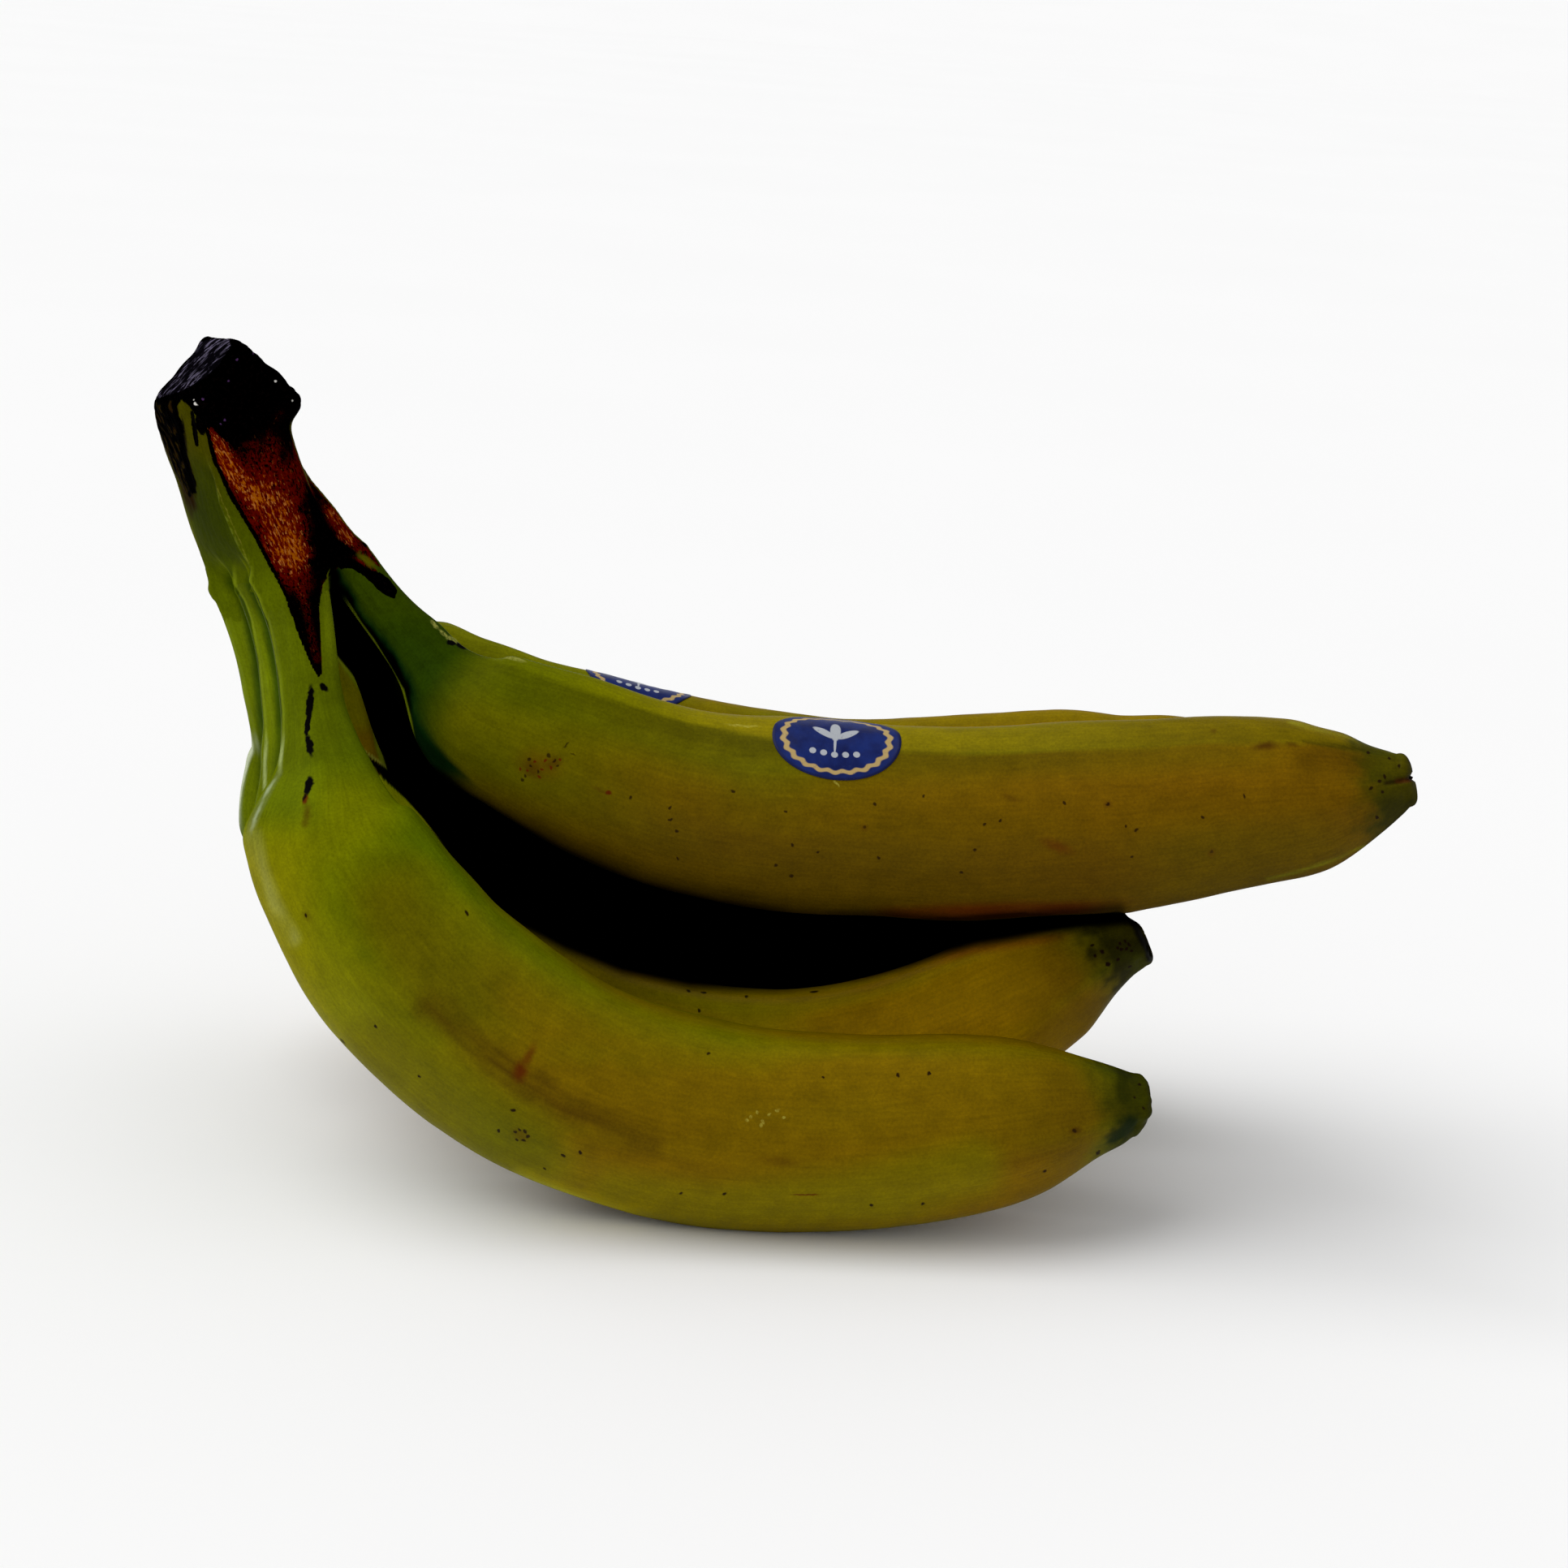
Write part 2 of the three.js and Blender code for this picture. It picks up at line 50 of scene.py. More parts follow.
# ---- shape tables, the same as the solids' --------------------------------
# Rows along a fruit: centre x, y, z, radius in the plane of the bend, sideways
# width as a share of that radius. Ridges are in degrees round the section.
FRUIT = {
    "banana_outer_front": {"ridges": [-2, 70, 143, 216, 287], "rows": [
        [-97.05, -19.47, 118.77, 7.26, 0.96], [-94.32, -20.35, 109.49, 6.28, 0.96], [-92.31, -23.22, 100.65, 5.97, 0.957],
        [-89.9, -27.88, 92.06, 6.67, 0.915], [-87.57, -32.74, 83.37, 9.99, 0.877], [-85.89, -36.53, 74.38, 15.85, 0.861],
        [-81.21, -38.86, 66.28, 18.18, 0.883], [-75.69, -40.2, 58.61, 19.43, 0.905], [-69.79, -40.95, 51.21, 20.29, 0.922],
        [-63.13, -41.31, 44.35, 20.53, 0.94], [-55.69, -41.47, 38.14, 20.82, 0.95], [-47.56, -41.56, 32.64, 20.93, 0.951],
        [-38.82, -41.64, 27.94, 20.85, 0.952], [-29.55, -41.63, 24.36, 20.65, 0.954], [-19.94, -41.59, 21.82, 20.61, 0.955],
        [-10.18, -41.55, 20.14, 20.54, 0.956], [-0.37, -41.52, 19.18, 20.2, 0.957], [9.44, -41.43, 19.14, 19.88, 0.958],
        [19.22, -41.32, 19.63, 19.53, 0.959], [28.91, -41.13, 20.66, 19.07, 0.96], [38.53, -40.8, 22.12, 18.49, 0.965],
        [48.11, -40.33, 23.65, 17.29, 0.972], [57.66, -39.58, 25.38, 14.75, 0.978], [67.25, -38.51, 26.94, 10.35, 0.988],
        [77.06, -37.16, 27.69, 6.45, 1.0],
    ]},
    "banana_outer_middle": {"ridges": [-7, 64, 136, 210, 281], "rows": [
        [-103.16, -5.47, 114.72, 6.6, 0.96], [-99.83, -5.56, 105.51, 6.7, 0.84], [-95.55, -5.38, 95.86, 9.3, 0.84],
        [-92.82, -5.05, 85.78, 10.71, 0.84], [-91.04, -4.61, 75.79, 13.28, 0.84], [-88.7, -4.12, 66.24, 16.82, 0.846],
        [-84.54, -3.64, 57.41, 18.16, 0.877], [-78.55, -3.2, 49.39, 18.3, 0.905], [-71.26, -2.82, 42.21, 18.3, 0.922],
        [-63.07, -2.52, 35.89, 18.3, 0.94], [-54.24, -2.3, 30.43, 18.25, 0.95], [-44.93, -2.15, 25.77, 18.19, 0.951],
        [-35.26, -2.06, 19.67, 19.42, 0.952], [-25.34, -2.02, 17.77, 18.75, 0.954], [-15.3, -2.03, 17.05, 17.89, 0.955],
        [-5.23, -2.06, 16.65, 17.42, 0.956], [4.79, -2.13, 16.97, 17.2, 0.957], [14.67, -2.2, 18.47, 16.98, 0.958],
        [24.38, -2.28, 21.15, 16.71, 0.959], [33.86, -2.36, 24.92, 16.37, 0.96], [43.1, -2.41, 29.61, 15.95, 0.965],
        [52.1, -2.45, 34.99, 15.45, 0.972], [60.8, -2.41, 40.84, 13.23, 0.978], [69.12, -2.24, 46.93, 9.82, 0.988],
        [77.82, -2.24, 51.64, 6.06, 1.0],
    ]},
    "banana_outer_back": {"ridges": [6, 77, 149, 220, 293], "rows": [
        [-109.74, 9.53, 110.05, 6.97, 0.96], [-107.67, 11.8, 100.73, 6.05, 0.96], [-105.71, 15.95, 91.35, 6.38, 0.957],
        [-103.89, 21.11, 82.2, 7.12, 0.915], [-101.98, 26.49, 73.63, 8.64, 0.877], [-100.42, 31.16, 64.9, 14.72, 0.861],
        [-95.55, 34.75, 57.17, 18.81, 0.883], [-88.69, 37.14, 50.28, 20.61, 0.905], [-80.7, 38.59, 44.2, 21.46, 0.922],
        [-72.01, 39.43, 38.91, 22.13, 0.94], [-62.9, 39.87, 34.36, 22.55, 0.95], [-53.45, 40.04, 30.45, 22.7, 0.951],
        [-43.75, 40.01, 26.45, 22.9, 0.952], [-33.84, 39.86, 22.13, 23.56, 0.954], [-23.78, 39.64, 21.11, 22.58, 0.955],
        [-13.64, 39.4, 20.35, 21.72, 0.956], [-3.47, 39.16, 19.78, 21.04, 0.957], [6.7, 38.94, 19.69, 20.5, 0.958],
        [16.81, 38.73, 20.36, 20.1, 0.959], [26.84, 38.53, 21.8, 19.42, 0.96], [36.75, 38.32, 23.97, 18.36, 0.965],
        [46.54, 38.04, 26.8, 16.75, 0.972], [56.19, 37.64, 30.19, 14.37, 0.978], [65.7, 37.07, 33.97, 11.53, 0.988],
        [75.07, 36.23, 37.98, 7.8, 1.0],
    ]},
    "banana_inner_front": {"ridges": [3, 69, 141, 225, 303], "rows": [
        [-86.58, -12.46, 121.92, 5.02, 0.96], [-80.7, -13.43, 114.8, 5.2, 0.96], [-74.19, -15.59, 108.19, 5.91, 0.957],
        [-67.69, -18.15, 101.51, 7.91, 0.915], [-60.83, -20.45, 95.21, 12.79, 0.877], [-52.1, -21.72, 91.64, 14.92, 0.861],
        [-43.23, -22.59, 88.53, 16.26, 0.883], [-34.38, -23.23, 85.48, 17.2, 0.905], [-25.37, -23.66, 82.79, 17.79, 0.922],
        [-16.12, -23.84, 80.86, 18.27, 0.94], [-6.71, -23.8, 79.82, 18.88, 0.95], [2.77, -23.62, 79.5, 19.51, 0.951],
        [12.25, -23.48, 79.4, 19.53, 0.952], [21.74, -23.45, 79.38, 19.17, 0.954], [31.24, -23.55, 79.46, 19.34, 0.955],
        [40.72, -23.7, 80.03, 19.4, 0.956], [50.13, -23.87, 81.27, 19.19, 0.957], [59.49, -24.2, 82.68, 19.14, 0.958],
        [68.84, -24.78, 83.96, 19.03, 0.959], [78.07, -25.42, 85.78, 18.34, 0.96], [87.24, -26.21, 87.81, 17.59, 0.965],
        [96.41, -27.25, 89.67, 16.59, 0.972], [105.61, -28.52, 91.34, 14.54, 0.978], [114.71, -29.81, 93.57, 10.46, 0.988],
        [123.61, -30.99, 96.68, 5.43, 1.0],
    ]},
    "banana_inner_back": {"ridges": [1, 73, 145, 217, 289], "rows": [
        [-92.03, 3.93, 113.1, 6.2, 0.96], [-87.67, 6.52, 105.08, 6.34, 0.96], [-82.69, 9.19, 98.15, 9.52, 0.957],
        [-76.15, 11.52, 92.69, 14.49, 0.915], [-68.96, 13.1, 87.79, 16.27, 0.877], [-60.91, 14.17, 84.07, 16.85, 0.861],
        [-52.27, 14.89, 81.24, 17.06, 0.883], [-43.32, 15.35, 78.98, 17.37, 0.905], [-34.23, 15.61, 77.0, 17.8, 0.922],
        [-25.15, 15.69, 75.07, 18.05, 0.94], [-16.07, 15.71, 73.52, 18.31, 0.95], [-7.04, 15.67, 72.36, 18.45, 0.951],
        [1.95, 15.56, 71.63, 18.5, 0.952], [10.92, 15.38, 71.3, 18.31, 0.954], [19.91, 15.22, 71.62, 18.18, 0.955],
        [28.9, 15.12, 72.55, 18.21, 0.956], [37.91, 15.02, 73.72, 18.23, 0.957], [46.96, 14.91, 74.91, 18.19, 0.958],
        [56.03, 14.81, 76.17, 18.14, 0.959], [65.16, 14.62, 77.2, 17.74, 0.96], [74.31, 14.31, 77.91, 16.69, 0.965],
        [83.37, 14.12, 79.41, 15.93, 0.972], [92.4, 13.76, 80.74, 14.04, 0.978], [101.37, 13.24, 82.1, 10.71, 0.988],
        [110.23, 12.53, 83.67, 6.6, 1.0],
    ]},
}

PAD_ROWS = [
    [-99.87, -8.55, 116.45, 5.19, 17.1],
    [-102.91, -3.33, 122.07, 11.5, 23.07],
    [-107.13, -3.15, 129.09, 11.11, 23.28],
    [-109.73, -4.14, 135.82, 10.37, 22.14],
    [-111.53, -5.31, 142.3, 10.25, 20.81],
    [-112.41, -5.67, 146.1, 11.29, 20.39],
    [-112.37, -5.04, 149.4, 13.66, 21.12],
    [-112.37, -5.85, 153.35, 13.37, 20.19],
    [-112.81, -6.57, 161.28, 12.01, 19.36],
    [-112.65, -7.11, 163.74, 11.47, 18.75],
]
E1 = np.array([0.91826, 0.39073, 0.06421]); E1 /= np.linalg.norm(E1)
E2 = np.array([-0.36569, 0.89901, -0.24096]); E2 -= E1 * (E1 @ E2); E2 /= np.linalg.norm(E2)
CUTS = [
    [-0.7037, -0.28166, 0.65228, 191.511],
    [0.54755, 0.41715, 0.72538, 51.979],
    [-0.7331, 0.43161, 0.52562, 167.705],
    [-0.18679, -0.11831, 0.97525, 183.695],
]

# ---- camera, as numbers, for placing marks --------------------------------
CAM_POS = np.array([-8.5813229, -621.0258875, 245.1834284])
CAM_FWD = np.array([0.0180543, 0.9659258, -0.2581886])
CAM_UP = np.array([-0.0673796, 0.258819, 0.9635729])
CAM_RIGHT = np.array([0.9975641, 0.0, 0.0697565])
FOCAL = 3840.0
HALF = 966.0


def project(P):
    q = np.asarray(P, float) - CAM_POS
    s = q @ CAM_FWD
    return np.stack([HALF + FOCAL * (q @ CAM_RIGHT) / s, HALF - FOCAL * (q @ CAM_UP) / s], -1)


def ray(u, v):
    d = CAM_FWD + CAM_RIGHT * (u - HALF) / FOCAL + CAM_UP * (HALF - v) / FOCAL
    return d / np.linalg.norm(d)


# ---- small numeric helpers -------------------------------------------------
def smooth(x, a, b):
    t = np.clip((np.asarray(x, float) - a) / (b - a), 0, 1)
    return t * t * (3 - 2 * t)


def bump(x, mid, half):
    """1 at mid, 0 from half away, smooth."""
    return 1 - smooth(np.abs(x - mid), 0, half)


def mixc(a, b, w):
    w = np.asarray(w)[..., None]
    return a * (1 - w) + b * w


def _hash(ix, iy, iz, seed):
    h = (ix.astype(np.uint32) * np.uint32(0x8DA6B343)) ^ (iy.astype(np.uint32) * np.uint32(0xD8163841)) \
        ^ (iz.astype(np.uint32) * np.uint32(0xCB1AB31F)) ^ np.uint32((seed * 2654435761) & 0xFFFFFFFF)
    h ^= h >> np.uint32(13)
    h *= np.uint32(0x5BD1E995)
    h ^= h >> np.uint32(15)
    h *= np.uint32(0x27D4EB2D)
    h ^= h >> np.uint32(13)
    return h.astype(np.float64) / 4294967296.0 * 2 - 1


def noise(P, size, seed=0):
    """Smooth value noise in [-1, 1]; size is the feature size along each axis."""
    q = np.asarray(P, float) / np.asarray(size, float)
    i = np.floor(q).astype(np.int64)
    f = q - i
    f = f * f * f * (f * (f * 6 - 15) + 10)
    out = 0
    for dx in (0, 1):
        wx = f[..., 0] if dx else 1 - f[..., 0]
        for dy in (0, 1):
            wy = f[..., 1] if dy else 1 - f[..., 1]
            for dz in (0, 1):
                wz = f[..., 2] if dz else 1 - f[..., 2]
                out = out + wx * wy * wz * _hash(i[..., 0] + dx, i[..., 1] + dy, i[..., 2] + dz, seed)
    return out


def fbm(P, size, seed=0, octaves=3):
    a, out, n = 1.0, 0, 0
    size = np.asarray(size, float)
    for k in range(octaves):
        out = out + a * noise(P, size / 2 ** k, seed + 17 * k)
        n += a
        a *= 0.5
    return out / n * 1.5


def seg_dist(uv, pts):
    """Distance from each pixel place to a polyline, and how far along it (0..1)."""
    pts = np.asarray(pts, float)
    best = np.full(len(uv), 1e9)
    along = np.zeros(len(uv))
    L = np.concatenate([[0], np.cumsum(np.linalg.norm(np.diff(pts, axis=0), axis=1))])
    for k in range(len(pts) - 1):
        a, b = pts[k], pts[k + 1]
        ab = b - a
        t = np.clip(((uv - a) @ ab) / (ab @ ab), 0, 1)
        d = np.hypot(*(uv - a - t[:, None] * ab).T)
        w = d < best
        best = np.where(w, d, best)
        along = np.where(w, (L[k] + t * (L[k + 1] - L[k])) / L[-1], along)
    return best, along


def inside(uv, poly):
    """Signed distance to a closed outline in pixels, negative inside."""
    poly = np.asarray(poly, float)
    x, y = uv[:, 0], uv[:, 1]
    c = np.zeros(len(uv), bool)
    n = len(poly)
    for i in range(n):
        x0, y0 = poly[i]
        x1, y1 = poly[(i + 1) % n]
        if y0 == y1:
            continue
        hit = ((y0 > y) != (y1 > y)) & (x < (x1 - x0) * (y - y0) / (y1 - y0) + x0)
        c ^= hit
    d, _ = seg_dist(uv, np.vstack([poly, poly[:1]]))
    return np.where(c, -d, d)


# ---- fruit surfaces ---------------------------------------------------------
SHARP = 6.0
TURN = math.radians(15)
STEADY = ("banana_outer_middle", "banana_outer_back")


def natural(rows):
    """Natural cubic spline through equally spaced rows."""
    rows = np.asarray(rows, float)
    n = len(rows)
    A = np.zeros((n, n))
    R = np.zeros_like(rows)
    A[0, 0] = A[-1, -1] = 1
    for i in range(1, n - 1):
        A[i, i - 1:i + 2] = (1, 4, 1)
        R[i] = 6 * (rows[i + 1] - 2 * rows[i] + rows[i - 1])
    M = np.linalg.solve(A, R)

    def at(f):
        x = np.asarray(f, float) * (n - 1)
        i = np.clip(np.floor(x), 0, n - 2).astype(int)
        t = (x - i)[..., None]
        t0 = np.clip(t, 0, 1)
        u = 1 - t0
        v = u * rows[i] + t0 * rows[i + 1] + ((u ** 3 - u) * M[i] + (t0 ** 3 - t0) * M[i + 1]) / 6
        slope = rows[i + 1] - rows[i] + (-(3 * u ** 2 - 1) * M[i] + (3 * t0 ** 2 - 1) * M[i + 1]) / 6
        return v + (t - t0) * slope
    return at


def section(ridges, count, sharp=SHARP, strength=0.85):
    r = sorted(a % 360 for a in ridges)
    mids = [math.radians((a + (r[i + 1] if i < 4 else r[0] + 360)) / 2) for i, a in enumerate(r)]
    th = np.arange(count) * 2 * np.pi / count
    s = sum(np.maximum(0, np.cos(th - m)) ** sharp for m in mids)
    g = s ** (-1 / sharp)
    g = 1 + strength * (g / g.mean() - 1)
    b, n = g * np.cos(th - TURN), g * np.sin(th - TURN)
    b = (b - (b.max() + b.min()) / 2) / ((b.max() - b.min()) / 2)
    n = (n - (n.max() + n.min()) / 2) / ((n.max() - n.min()) / 2)
    return b * math.cos(TURN) - n * math.sin(TURN), b * math.sin(TURN) + n * math.cos(TURN)


class Fruit:
    def __init__(self, name):
        self.name = name
        self.ridges = FRUIT[name]["ridges"]
        self.at = natural(FRUIT[name]["rows"])
        fine = self.at(np.linspace(0, 1, 800))[:, :3]
        self.S = np.concatenate([[0], np.cumsum(np.linalg.norm(np.diff(fine, axis=0), axis=1))])
        self.length = self.S[-1]
        self.sb, self.sn = section(self.ridges, 720)

    def f_of(self, s):
        s = np.asarray(s, float)
        f = np.interp(s, self.S, np.linspace(0, 1, 800))
        f = np.where(s < 0, s / (self.S[8] * 100), f)
        e = (1 - np.linspace(0, 1, 800)[-9]) / (self.S[-1] - self.S[-9])
        return np.where(s > self.length, 1 + (s - self.length) * e, f)

    def frame(self, f):
        f = np.asarray(f, float)
        v = self.at(f)
        w = 0.004 + (0.020 * bump(f, 0.48, 0.20) if self.name in STEADY else 0)
        T = self.at(f + w)[..., :3] - self.at(f - w)[..., :3]
        T /= np.linalg.norm(T, axis=-1, keepdims=True)
        B = np.zeros_like(T)
        B[..., 1] = -1
        B -= T * np.sum(B * T, -1, keepdims=True)
        B /= np.linalg.norm(B, axis=-1, keepdims=True)
        N = np.cross(B, T)
        return v[..., :3], v[..., 3], v[..., 4], T, B, N

    def unit(self, th):
        """The section at angles th (radians): (front, hollow) amounts."""
        x = (np.asarray(th) / (2 * np.pi) % 1) * 720
        k = np.append(np.arange(720), 720)
        return (np.interp(x, k, np.append(self.sb, self.sb[0])),
                np.interp(x, k, np.append(self.sn, self.sn[0])))


# ---- mesh making ------------------------------------------------------------
def grid_faces(rows, cols):
    i = np.arange(rows - 1)[:, None]
    j = np.arange(cols)[None, :]
    k = (j + 1) % cols
    a, b = i * cols + j, i * cols + k
    return np.stack([a, b, b + cols, a + cols], -1).reshape(-1, 4)


def vertex_normals(V, quads):
    n = np.zeros_like(V)
    a, b, c, d = (V[quads[:, k]] for k in range(4))
    fn = np.cross(c - a, d - b)
    for k in range(4):
        np.add.at(n, quads[:, k], fn)
    return n / (np.linalg.norm(n, axis=1, keepdims=True) + 1e-12)


def make_object(name, V, quads, tris=(), attrs=None, smooth_shade=True):
    """A mesh object from points in mm, with point attributes."""
    quads = np.asarray(quads, np.int64).reshape(-1, 4)
    tris = np.asarray(tris, np.int64).reshape(-1, 3)
    me = bpy.data.meshes.new(name)
    nq, nt = len(quads), len(tris)
    me.vertices.add(len(V))
    me.vertices.foreach_set("co", (np.asarray(V) * MM).astype(np.float32).ravel())
    me.loops.add(nq * 4 + nt * 3)
    me.loops.foreach_set("vertex_index", np.concatenate([quads.ravel(), tris.ravel()]).astype(np.int32))
    me.polygons.add(nq + nt)
    starts = np.concatenate([np.arange(nq) * 4, nq * 4 + np.arange(nt) * 3]).astype(np.int32)
    me.polygons.foreach_set("loop_start", starts)
    me.update(calc_edges=True)
    me.validate()
    if smooth_shade:
        me.polygons.foreach_set("use_smooth", np.ones(nq + nt, bool))
    for key, val in (attrs or {}).items():
        val = np.asarray(val, np.float32)
        if val.ndim == 1:
            at = me.attributes.new(key, "FLOAT", "POINT")
            at.data.foreach_set("value", val)
        elif key.startswith("col"):
            at = me.attributes.new(key, "FLOAT_COLOR", "POINT")
            at.data.foreach_set("color", np.concatenate([val, np.ones((len(val), 1), np.float32)], 1).ravel())
        else:
            at = me.attributes.new(key, "FLOAT_VECTOR", "POINT")
            at.data.foreach_set("vector", val.ravel())
    ob = bpy.data.objects.new(name, me)
    bpy.context.scene.collection.objects.link(ob)
    return ob


def stations(L, back):
    s = list(np.arange(-back, 0, 0.75))
    x = 0.0
    while x < L:
        s.append(x)
        near = min(1, max(0, (x - 52) / 20)) * min(1, max(0, (L - 18 - x) / 12))
        x += 0.48 + 0.47 * near
    s[-1] = L
    return np.array(s)


AROUND = 132
TIP = 2.6
KEYS = {"A": "banana_outer_front", "B": "banana_outer_middle", "E": "banana_outer_back",
        "C": "banana_inner_front", "D": "banana_inner_back"}


def ridge_gap(fr, th):
    """Smallest angle in degrees from each place to a ridge."""
    d = np.degrees(th)[..., None] - np.array(fr.ridges, float)
    return np.abs((d + 180) % 360 - 180).min(-1)


# small pushes across the view, in pixels: where, how far, and over what radius
PUSHES = [(190, 494, -5, -2, 14), (205, 556, -6, 0, 34), (217, 470, 1, 3, 14), (250, 700, -6, 0, 22), (250, 424, 0, -4, 12),
          (290, 420, 0, -5, 16), (368, 486, 5, -1, 15), (344, 462, 3, -3, 16), (432, 652, -4, 3, 30), (546, 766, 3, -3, 26),
          (630, 800, 0, -2, 40), (730, 830, 0, -2, 50), (262, 728, -4, 0, 9), (304, 920, -6, 0, 22),
          (300, 1026, -6, 0, 28), (1745, 958, -5, 0, 30), (1640, 1070, 2, 5, 50), (1600, 888, 1, -2, 30), (1409, 1396, -8, -3, 20),
          (1397, 1126, -9, 3, 12), (1416, 1186, 4, 0, 16), (1342, 1276, 2, 1, 24), (1655, 906, 3, -4, 26),
          (514, 998, -3.0, 2.8, 38), (560, 1052, -3.0, 2.8, 38), (608, 1106, -2.6, 2.6, 38)]


def push(V):
    uv = project(V)
    k = ((V - CAM_POS) @ CAM_FWD / FOCAL)[:, None]
    D = np.zeros((len(V), 2))
    for u, v, du, dv, r in PUSHES:
        w = np.exp(-((uv[:, 0] - u) ** 2 + (uv[:, 1] - v) ** 2) / r ** 2)
        D += w[:, None] * np.array([du, dv])
    return V + (CAM_RIGHT * D[:, :1] - CAM_UP * D[:, 1:]) * k


def crease(V):
    """The cleft that parts the inner front fruit's dry end into two lobes, in mm."""
    d, along = seg_dist(project(V), [(1692, 967), (1716, 964), (1734, 960), (1752, 956)])
    return 0.9 * np.exp(-(d / 3.6) ** 2) * smooth(along, 0.05, 0.85)


def floor_press(V):
    z = V[:, 2]
    V[:, 2] = np.where(z < 3, 0.5 * (z + np.sqrt(z * z + 0.06)), z)
    return V


def shape_fruit(key):
    fr = Fruit(KEYS[key])
    L = fr.length
    s = stations(L, 7.5)
    cap = np.radians(np.linspace(0, 88, 15)[1:])
    scale = np.concatenate([1 - 0.45 * smooth(-s, 0.8, 7.5), np.cos(cap) ** (2 / 2.7)])
    shift = np.concatenate([np.zeros(len(s)), TIP * np.sin(cap) ** (2 / 2.7)])
    f = fr.f_of(np.concatenate([s, np.full(len(cap), L)]))
    C, r, q, T, B, N = fr.frame(f)
    th = np.arange(AROUND) * 2 * np.pi / AROUND
    sb, sn = fr.unit(th)
    rr = (r * scale)[:, None]
    V = (C + T * shift[:, None])[:, None, :] + (rr * q[:, None] * sb)[..., None] * B[:, None, :] \
        + (rr * sn)[..., None] * N[:, None, :]
    rows = len(f)
    S = np.concatenate([s, L + shift[len(s):]])
    sg, tg = np.meshgrid(S, th, indexing="ij")
    rad = np.repeat(r * scale, AROUND)
    poles = np.array([C[0], (C[-1] + T[-1] * TIP)])
    V = np.vstack([V.reshape(-1, 3), poles])
    sv = np.concatenate([sg.ravel(), [S[0], L + TIP]])
    tv = np.concatenate([tg.ravel(), [0, 0]])
    rad = np.concatenate([rad, [0, 0]])
    quads = grid_faces(rows, AROUND)
    j = np.arange(AROUND)
    k = (j + 1) % AROUND
    e = (rows - 1) * AROUND
    a = rows * AROUND
    tris = np.vstack([np.stack([np.full(AROUND, a), k, j], 1), np.stack([np.full(AROUND, a + 1), e + j, e + k], 1)])
    # the winding that puts faces outward
    n = np.cross(V[quads[:, 2]] - V[quads[:, 0]], V[quads[:, 3]] - V[quads[:, 1]])
    mid = V[quads].mean(1)
    axis = np.repeat(C, AROUND, 0)
    out = np.sum(n * (mid - axis[quads[:, 0]]), 1).sum()
    if out < 0:
        quads, tris = quads[:, ::-1], tris[:, ::-1]
    return dict(key=key, fr=fr, L=L, V=V, s=sv, th=tv, rad=rad, quads=quads, tris=tris, rows=rows)


def fruit_relief(m):
    """Height of the skin over its smooth form, in mm."""
    V, s, th, L, key = m["V"], m["s"], m["th"], m["L"], m["key"]
    fr = m["fr"]
    body = smooth(s, 40, 70) * smooth(s, L + 1, L - 20)
    g = ridge_gap(fr, th)
    d = 0.22 * fbm(V, 34, 11, 2) * body
    d += 0.07 * fbm(V, 7, 23, 2) * smooth(s, 5, 30)
    d += 0.16 * np.exp(-(g / 5.0) ** 2) * smooth(s, 20, 45) * smooth(s, L, L - 14)
    # fine lengthwise flutes on the stalk
    neck = smooth(s, -2, 4) * smooth(s, 60, 32)
    flute = noise(np.stack([s / 30, 9 * np.cos(th), 9 * np.sin(th)], -1), 1.0, 31)
    d += 0.12 * flute * neck
    # the dry flower end: a ragged, uneven surface
    e = L - s
    t = smooth(s, L - 3.0, L + 0.2)
    d += t * (0.22 * noise(np.stack([s, 3 * np.cos(th), 3 * np.sin(th)], -1), (1.6, 1, 1), 41))
    return d


def occlusion(meshes, pieces, rays=48, reach=90.0):
    """How much of the sky each place can see, from coarse rays against the other pieces."""
    rng = np.random.default_rng(5)
    k = np.arange(rays)
    phi = k * 2.399963
    z = np.sqrt(1 - (k + 0.5) / rays)
    rr = np.sqrt(1 - z * z)
    hemi = np.stack([rr * np.cos(phi), rr * np.sin(phi), z], -1)
    verts, polys, base = [], [], 0
    for m in pieces:
        V, q = m["lowV"], m["lowQ"]
        verts.append(V)
        polys.append(q + base)
        base += len(V)
    verts = np.vstack(verts)
    polys = np.vstack(polys)
    tree = BVHTree.FromPolygons([tuple(v) for v in verts], [tuple(int(x) for x in p) for p in polys])
    for m in meshes:
        P, Nn = m["lowV"], m["lowN"]
        out = np.zeros(len(P))
        for i in range(len(P)):
            n = Nn[i]
            t = np.cross(n, (0.31, 0.95, 0.07))
            t /= np.linalg.norm(t)
            b = np.cross(n, t)
            D = hemi[:, :1] * t + hemi[:, 1:2] * b + hemi[:, 2:] * n
            o = Vector(P[i] + n * 0.5)
            hit = 0.0
            for dd in D:
                h = tree.ray_cast(o, Vector(dd), reach)
                if h[0] is not None:
                    hit += 1 - 0.35 * h[3] / reach
            out[i] = hit / rays
        m["lowAO"] = out


